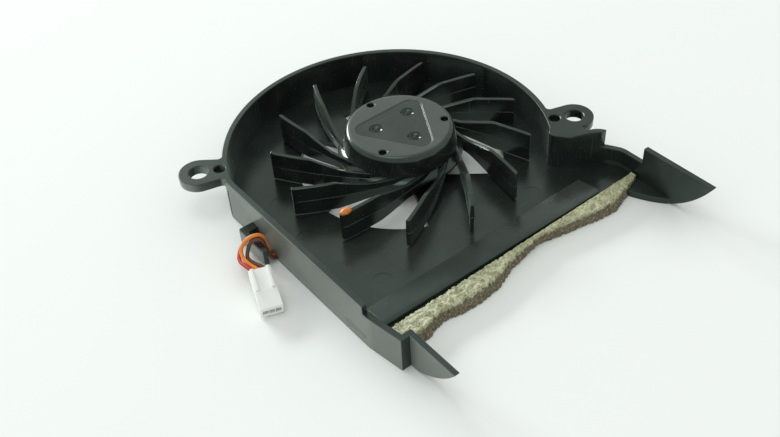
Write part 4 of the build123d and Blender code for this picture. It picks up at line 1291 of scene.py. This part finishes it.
# %% Hub and impeller
HUB_TOP_R = 10.55
HUB_EDGE_R = 1.3
HUB_LIP_R = 10.95
HUB_LIP_Z = HUB_TOP_Z - 3.9
HUB_LIP_T = 0.25
HUB_LIP_EASE = 0.08
SKIRT_W = 2.0
SKIRT_Z = 4.5
SKIRT_T = 0.4
SKIRT_STEPS = 8
HUB_LOW_Z = 2.4
HUB_ROOF_Z = HUB_TOP_Z - 1.6
HUB_BOSS_R = 1.7
HUB_BOSS_Z = HUB_ROOF_Z - 1.3
SHAFT_SEAT_R = 0.77
SHAFT_CAP = 0.8
RECESS_PHASE = 31.0
RECESS_R = 8.35
RECESS_CORNER = 2.05
RECESS_DEPTH = 0.15
RECESS_FLARE = 0.5
RECESS_EDGE = 0.05
POCKET_PHASE = 91.0
POCKET_RING_R = 8.8
POCKET_R = 0.75
POCKET_DEPTH = 0.9
POCKET_LIP = 0.14
POCKET_FLARE = 1.6
GATE_RING_R = 4.5
GATE_BOWL = (
    (0, -0.05),
    (0.3, -0.08),
    (0.55, -0.36),
    (0.85, -0.44),
    (1.15, -0.3),
    (1.4, 0.02),
    (1.4, OVER),
    (0, OVER),
)
THIRDS = (0, 120, 240)
HUB_STEPS = 144
HUB_EDGE_STEPS = 10
MARK_STEPS = 40
HUB_SHARP = radians(22)


def hub_cup():
    """The hub as turned: rounded top, lip, skirt, wall, hollow and the boss that grips the shaft."""
    edge_centre = (HUB_TOP_R - HUB_EDGE_R, HUB_TOP_Z - HUB_EDGE_R)
    edge = arc(edge_centre, HUB_EDGE_R, 90, 0, HUB_EDGE_STEPS)
    skirt_rise = HUB_LIP_Z - HUB_LIP_T - SKIRT_Z
    shares = [step / SKIRT_STEPS for step in range(SKIRT_STEPS + 1)]
    skirt = [(HUB_WALL_R + SKIRT_W * out, SKIRT_Z + skirt_rise * (1 - out) ** 2) for out in shares]
    outline = [
        (0, HUB_TOP_Z),
        *edge,
        (HUB_LIP_R - HUB_LIP_EASE / 3, HUB_LIP_Z + HUB_LIP_EASE),
        (HUB_LIP_R, HUB_LIP_Z),
        (HUB_LIP_R, HUB_LIP_Z - HUB_LIP_T + HUB_LIP_EASE),
        (HUB_LIP_R - HUB_LIP_EASE, HUB_LIP_Z - HUB_LIP_T),
        *skirt,
        (HUB_WALL_R + SKIRT_W, SKIRT_Z - SKIRT_T),
        (HUB_WALL_R, SKIRT_Z - 2 * SKIRT_T),
        (HUB_WALL_R, HUB_LOW_Z),
        (HUB_BORE_R, HUB_LOW_Z),
        (HUB_BORE_R, HUB_ROOF_Z),
        (HUB_BOSS_R, HUB_ROOF_Z),
        (HUB_BOSS_R, HUB_BOSS_Z),
        (SHAFT_SEAT_R, HUB_BOSS_Z),
        (SHAFT_SEAT_R, HUB_TOP_Z - SHAFT_CAP),
        (0, HUB_TOP_Z - SHAFT_CAP),
    ]
    return turned(outline, HUB_STEPS)


def gate_mark(centre, z):
    """A round dimple with a small nub in its middle."""
    return turned([(radius, z + rise) for radius, rise in GATE_BOWL], MARK_STEPS, centre)


recess_corners = []
for third in THIRDS:
    recess_corners.append((polar(RECESS_R - RECESS_CORNER, RECESS_PHASE + third), RECESS_CORNER))
recess_low = HUB_TOP_Z - RECESS_DEPTH
recess_top = HUB_TOP_Z + RECESS_DEPTH
pocket_outline = [
    (0, -POCKET_DEPTH),
    (POCKET_R, -POCKET_DEPTH),
    (POCKET_R, -POCKET_LIP),
    (POCKET_R + POCKET_FLARE * POCKET_LIP, 0),
    (POCKET_R + POCKET_FLARE * POCKET_LIP, OVER),
    (0, OVER),
]
hub_steps = [("DIFFERENCE", banded(recess_corners, recess_low, recess_top, RECESS_FLARE))]
for third in THIRDS:
    gate = gate_mark(polar(GATE_RING_R, RECESS_PHASE + third), recess_low)
    pocket_place = polar(POCKET_RING_R, POCKET_PHASE + third)
    pocket_points = [(radius, HUB_TOP_Z + rise) for radius, rise in pocket_outline]
    pocket = turned(pocket_points, MARK_STEPS, pocket_place)
    hub_steps.append(("DIFFERENCE", gate))
    hub_steps.append(("DIFFERENCE", pocket))
hub_shape = worked(hub_cup(), *hub_steps)
on_top = HUB_TOP_Z - RECESS_DEPTH / 2
soften(hub_shape, RECESS_EDGE, lambda edge: min(vert.co.z for vert in edge.verts) > on_top, 2)
impeller_shape = worked(hub_shape, ("UNION", impeller_blades()))
piece(
    "impeller_moulding",
    impeller_shape,
    "rotor",
    impeller_finish,
    ["impeller"],
    HUB_SHARP,
)

# %% [markdown]
# ## Balance dab
# The fan was balanced by a bead of orange compound pressed onto one blade's tip. A sphere is drawn out
# along the blade and made a little uneven, as a hand-set blob is.

# %% Balance dab
DAB_BLADE = 3
DAB_HALF = (1.3, 0.7, 0.68)
DAB_INSET = 1.2
DAB_Z = BLADE_TOP_Z + 0.12
DAB_UNEVEN = 0.1
DAB_LUMPS = 1.7
DAB_COLOR = (0.8, 0.24, 0.03)
DAB_DARK = (0.62, 0.15, 0.02)
DAB_PALE = (0.9, 0.33, 0.06)

dab_finish = Finish("dab_compound", DAB_COLOR, 0.4)
dab_cloud = dab_finish.clouds(0.5, 3.0)
dab_finish.feed(Base_Color=dab_finish.mixed(dab_cloud, DAB_DARK, DAB_PALE))
dab_finish.feed(Roughness=0.3 + 0.25 * dab_cloud)
dab_finish.bump(dab_cloud, 0.03)

blade_heading = (blade_mid - blade_tip).normalized()
dab_turn = Matrix.Rotation(radians(BLADE_PHASE + DAB_BLADE * 360 / BLADE_COUNT), 4, "Z")
dab_rest = blade_tip + blade_heading * DAB_INSET
dab_lean = Matrix.Rotation(atan2(blade_heading.y, blade_heading.x), 4, "Z")
dab_shape = bmesh.new()
bmesh.ops.create_uvsphere(dab_shape, u_segments=32, v_segments=20, radius=1.0)
for vert in dab_shape.verts:
    vert.co *= 1 - DAB_UNEVEN / 2 + DAB_UNEVEN * noise.noise(vert.co * DAB_LUMPS)
    vert.co = vert.co * Vector(DAB_HALF)
dab_place = dab_turn @ Matrix.Translation((*dab_rest, DAB_Z)) @ dab_lean
bmesh.ops.transform(dab_shape, matrix=dab_place, verts=dab_shape.verts)
piece("set_dab", dab_shape, "rotor", dab_finish, ["balance_dab"])

# %% [markdown]
# ## Foam strip
# A strip of open-cell foam once sealed the outlet. It is torn to an uneven width and crumbling: pale and
# dusty on top, brown where it is torn. The block is remeshed into small even cells, and its points are
# moved in by pores and crumbs, so the ragged edge is real.

# %% Foam strip
FOAM_LOW_Z = 0.1
FOAM_TOP_Z = 2.3
FOAM_END_GAP = 0.3
FOAM_DEPTHS = (5.0, 4.6, 3.5, 4.2, 4.35, 3.8, 2.3, 1.5, 0.9, 1.8, 2.5, 3.3, 3.6, 2.4, 1.2)
FOAM_LEAN = 0.13
FOAM_SPREAD = 0.13
FOAM_BACK_BULGE = 0.15
FOAM_BACK_GAP = 0.65
FOAM_BACK_RUN = 2.4
FOAM_VOXEL = 0.15
CRUMB_SIZE = 0.8
CRUMB_DEPTH = 0.3
CRUMB_LEAST = -0.3
PORE_SIZE = 0.5
PORE_REACH = 0.55
PORE_DEPTH = 0.4
FOAM_FOOT = 0.4
FOAM_SEAM = 0.1
FOAM_SEAM_RUN = 0.4
FOAM_SHARP = radians(80)


def remeshed(shape, voxel):
    """The shape rebuilt from even cells."""
    blank = bpy.data.objects.new("blank", mesh_of(shape))
    modifier = blank.modifiers.new("cells", "REMESH")
    modifier.mode = "VOXEL"
    modifier.voxel_size = voxel
    return evaluated([blank])


foam_left_x = LEFT_FIN_IN_X + FOAM_END_GAP
foam_right_x = FIN_X - FOAM_END_GAP
foam_pitch = (foam_right_x - foam_left_x) / (len(FOAM_DEPTHS) - 1)
foam_front = [(foam_left_x + i * foam_pitch, LIP_Y - depth) for i, depth in enumerate(FOAM_DEPTHS)]
foam_block = raised([*foam_front, (foam_right_x, LIP_Y), (foam_left_x, LIP_Y)], FOAM_LOW_Z, FOAM_TOP_Z)
foam_shape = remeshed(worked(foam_block, *wings("DIFFERENCE")), FOAM_VOXEL)
for vert in foam_shape.verts:
    share = (vert.co.z - FOAM_LOW_Z) / (FOAM_TOP_Z - FOAM_LOW_Z)
    vert.co.y = LIP_Y - (LIP_Y - vert.co.y) * (1 + FOAM_SPREAD * (1 - share) - FOAM_LEAN * share)
    leftward = (foam_right_x - vert.co.x) / (foam_right_x - foam_left_x)
    backward = max(0.0, 1 - (LIP_Y - vert.co.y) / FOAM_BACK_RUN)
    upward = clamped((vert.co.z - FLOOR) / FOAM_FOOT)
    vert.co.y -= FOAM_BACK_GAP * leftward * backward * upward
foam_shape.normal_update()
for vert in foam_shape.verts:
    crumb = noise.fractal(vert.co / CRUMB_SIZE, 1.0, 2.0, 4)
    distances = noise.voronoi(vert.co / PORE_SIZE)[0]
    pore = max(0.0, PORE_REACH - distances[0])
    exposed = clamped((LIP_Y - FOAM_SEAM - vert.co.y) / FOAM_SEAM_RUN)
    vert.co -= vert.normal * exposed * (CRUMB_DEPTH * max(crumb, CRUMB_LEAST) + PORE_DEPTH * pore)
    if vert.co.z > FOAM_TOP_Z / 2:
        vert.co.y += (1 - exposed) * min(FOAM_BACK_BULGE, max(0.0, 2 * FOAM_BACK_BULGE * crumb))
print("foam's faces", len(foam_shape.faces))

# %% [markdown]
# The foam's colour has three causes, each a mask of its own: light has bleached the top, most of all to the
# left, the torn flanks are still brown, and grit speckles both. Over these, the pores are painted dark as the
# shade inside them, and pale specks are painted glints.

# %% Foam's finish
FOAM_COLOR = (0.42, 0.43, 0.25)
FOAM_BLEACHED = (0.68, 0.7, 0.5)
FOAM_CLUMP = (0.38, 0.38, 0.22)
FOAM_TORN = (0.09, 0.07, 0.038)
FOAM_TORN_PALE = (0.29, 0.26, 0.18)
# painted shade for the pores, and dark grit
FOAM_PORE_SHADE_AND_GRIT = (0.06, 0.048, 0.022)
# painted glints
FOAM_PAINTED_GLINT = (0.62, 0.62, 0.46)
FOAM_BLEACH = 0.7
FOAM_BLEACH_X = (4.0, -28.0)

foam_finish = Finish("foam", FOAM_COLOR, 0.95, Specular_IOR_Level=0.2)
foam_crumbs = foam_finish.clouds(0.7, 5.0)
foam_grit = foam_finish.clouds(0.3, 2.0)
foam_pores = foam_finish.cells(0.4)
foam_clumps = foam_finish.band(foam_finish.clouds(0.9, 4.0), 0.36, 0.62)
foam_leftward = foam_finish.band(foam_finish.along("X"), *FOAM_BLEACH_X)
foam_bleached = foam_finish.clouds(4.0, 3.0) + FOAM_BLEACH * foam_leftward
foam_faded = foam_finish.mixed(foam_bleached, FOAM_COLOR, FOAM_BLEACHED)
foam_pale = foam_finish.mixed(foam_clumps, FOAM_CLUMP, foam_faded)
foam_torn = foam_finish.mixed(foam_crumbs, FOAM_TORN, FOAM_TORN_PALE)
foam_top = foam_finish.band(foam_finish.along("Z") + 0.7 * foam_crumbs, 1.95, 2.45)
foam_color = foam_finish.mixed(foam_top, foam_torn, foam_pale)
# painted shade: the pores are painted dark as the shade inside them; low spots of the grit are dark grit
foam_pore_shade_and_grit = foam_finish.band(foam_pores, 0.34, 0.1) + foam_finish.band(foam_grit, 0.47, 0.34)
foam_with_pore_shade = foam_finish.mixed(0.4 * foam_pore_shade_and_grit, foam_color, FOAM_PORE_SHADE_AND_GRIT)
# painted highlight: pale specks stand in for light caught on the foam's cell walls
foam_painted_glint = foam_finish.band(foam_grit, 0.58, 0.68)
foam_finish.feed(Base_Color=foam_finish.mixed(0.4 * foam_painted_glint, foam_with_pore_shade, FOAM_PAINTED_GLINT))
foam_finish.bump(foam_crumbs + 0.6 * foam_pores + 0.4 * foam_grit, 0.25)
foam = piece("worn_foam", foam_shape, "fan_frame", foam_finish, ["foam_strip"], FOAM_SHARP)

# %% [markdown]
# ## Connector
# The connector is a small moulded nylon block with three ways right through it, windows for the terminals'
# latches and two ribs that key it. It is modelled in its own plane and then put in its place.

# %% Connector
PLUG_W = 4.0
PLUG_T = 2.4
PLUG_L = 8.4
PLUG_CAVITY = 0.95
PLUG_WINDOW_W = 0.65
PLUG_WINDOW_L = 1.6
PLUG_WINDOW_AT = 4.6
PLUG_KEY_W = 0.6
PLUG_KEY_H = 0.4
PLUG_KEY_L = 4.6
PLUG_EDGE = 0.12
PLUG_COLOR = (0.88, 0.89, 0.86)
PLUG_DARK = (0.84, 0.85, 0.81)
PLUG_PALE = (0.92, 0.93, 0.9)
PLUG_GLOW = 0.1
PLUG_GLOW_DEPTH = 0.0005
PLUG_TOP = -1 if plug_up.z < 0 else 1


def block_at(centre, size):
    """A square block about a centre."""
    half = [side / 2 for side in size]
    return box([c - h for c, h in zip(centre, half)], [c + h for c, h in zip(centre, half)])


plug_steps = []
for side in (-1, 1):
    key_place = (side * (PLUG_W / 2 - PLUG_KEY_W), PLUG_TOP * PLUG_T / 2, PLUG_KEY_L / 2)
    plug_steps.append(("UNION", block_at(key_place, (PLUG_KEY_W, 2 * PLUG_KEY_H, PLUG_KEY_L))))
for way in (-1, 0, 1):
    way_place = (way * PLUG_PITCH, 0, PLUG_L / 2)
    window_place = (way * PLUG_PITCH, -PLUG_TOP * PLUG_T / 2, PLUG_WINDOW_AT)
    plug_steps.append(("DIFFERENCE", block_at(way_place, (PLUG_CAVITY, PLUG_CAVITY, PLUG_L + OVER))))
    plug_steps.append(("DIFFERENCE", block_at(window_place, (PLUG_WINDOW_W, PLUG_T, PLUG_WINDOW_L))))
plug_shape = worked(block_at((0, 0, PLUG_L / 2), (PLUG_W, PLUG_T, PLUG_L)), *plug_steps)
soften(plug_shape, PLUG_EDGE)
bmesh.ops.transform(plug_shape, matrix=plug_frame, verts=plug_shape.verts)

plug_finish = Finish("connector_nylon", PLUG_COLOR, 0.4)
plug_finish.feed(Subsurface_Weight=PLUG_GLOW, Subsurface_Scale=PLUG_GLOW_DEPTH)
plug_cloud = plug_finish.clouds(1.5, 3.0)
plug_finish.feed(Base_Color=plug_finish.mixed(plug_cloud, PLUG_DARK, PLUG_PALE))
plug_finish.feed(Roughness=0.35 + 0.15 * plug_cloud)
plug_finish.bump(plug_finish.clouds(0.2, 2.0), 0.006)
plug_nodes = ["connector_housing"]
plug = piece("nylon_connector", plug_shape, "fan_frame", plug_finish, plug_nodes)

# %% [markdown]
# ## Motor and terminals
# The motor's inner pieces keep their CAD shapes, which are right, and only get finishes: turned and pressed
# metal with fine tool lines, wound copper, bonded magnet, green board and plain mouldings.


# %% Finishes of the motor
def metal(name, color, roughness, line_size):
    """Bare metal with fine level lines and a slight tarnish."""
    finish = Finish(name, color, roughness, Metallic=1.0)
    lines = finish.clouds(1.0, 2.0, finish.scaled((0.2, 0.2, 1 / line_size)))
    tarnish = finish.clouds(1.5, 4.0)
    finish.feed(Base_Color=finish.mixed(tarnish, shade(color, 0.8), color))
    finish.feed(Roughness=roughness + 0.15 * tarnish + 0.08 * lines)
    finish.bump(lines, 0.006)
    return finish


def plain_moulding(name, color, roughness, grain_size):
    """A plain part with a fine even grain."""
    finish = Finish(name, color, roughness)
    grain = finish.clouds(grain_size, 3.0)
    finish.feed(Base_Color=finish.mixed(grain, shade(color, 0.82), shade(color, 1.12)))
    finish.feed(Roughness=roughness - 0.08 + 0.16 * grain)
    finish.bump(grain, 0.008)
    return finish


def rings(finish, scale, distortion):
    """Wavy rings about the upright axis, from 0 to 1."""
    settings = {"wave_type": "RINGS", "rings_direction": "Z", "wave_profile": "SIN"}
    inputs = {"Vector": finish.place, "Scale": scale, "Distortion": distortion}
    return finish.node("ShaderNodeTexWave", settings, inputs, output="Fac")


def wound_copper():
    """Enamelled wire laid in turns, shown as fine ridges."""
    finish = Finish("coil_copper", (0.6, 0.24, 0.09), 0.32, Metallic=0.85, Coat_Weight=0.5)
    turns = rings(finish, 1.6, 0.4)
    finish.feed(Base_Color=finish.mixed(turns, (0.3, 0.1, 0.04), (0.66, 0.29, 0.11)))
    finish.bump(turns, 0.05)
    return finish


def green_board():
    """Solder mask over copper tracks."""
    finish = Finish("board_laminate", (0.03, 0.13, 0.06), 0.3, Coat_Weight=0.3)
    shown = finish.band(rings(finish, 0.5, 3.0), 0.55, 0.7)
    finish.feed(Base_Color=finish.mixed(shown, (0.02, 0.1, 0.045), (0.05, 0.19, 0.08)))
    finish.bump(shown, 0.03)
    return finish


node_finishes = {
    "rotor_yoke": metal("yoke_steel", (0.5, 0.5, 0.5), 0.35, 0.15),
    "ring_magnet": plain_moulding("bonded_ferrite", (0.06, 0.06, 0.065), 0.6, 0.15),
    "shaft": metal("shaft_steel", (0.68, 0.68, 0.69), 0.15, 0.08),
    "bearing_tube": metal("tube_brass", (0.72, 0.52, 0.24), 0.28, 0.12),
    "sleeve_bearing": metal("sintered_bronze", (0.45, 0.3, 0.15), 0.5, 0.4),
    "stator_core": metal("stator_steel", (0.4, 0.4, 0.42), 0.45, 0.35),
    "circuit_board": green_board(),
    "chip_capacitor": plain_moulding("capacitor_ceramic", (0.45, 0.3, 0.16), 0.5, 0.2),
    "crimp_terminals": metal("terminal_brass", (0.72, 0.68, 0.6), 0.3, 0.2),
}
bearing_nylon = plain_moulding("bearing_nylon", (0.78, 0.78, 0.72), 0.4, 0.4)
insulator = plain_moulding("insulator_plastic", (0.7, 0.66, 0.54), 0.45, 0.4)
chip_epoxy = plain_moulding("chip_epoxy", (0.02, 0.02, 0.022), 0.5, 0.1)
copper = wound_copper()
shared = (
    (bearing_nylon, ("thrust_pad", "retaining_washer")),
    (insulator, ("upper_insulator", "lower_insulator")),
    (chip_epoxy, ("driver_chip", "chip_resistor")),
    (copper, ("coil_1", "coil_2", "coil_3", "coil_4")),
)
for finish, names in shared:
    for name in names:
        node_finishes[name] = finish
for name, finish in node_finishes.items():
    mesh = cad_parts[name].data
    mesh.materials.clear()
    mesh.materials.append(finish.material)
print("CAD pieces with a finish:", len(node_finishes))
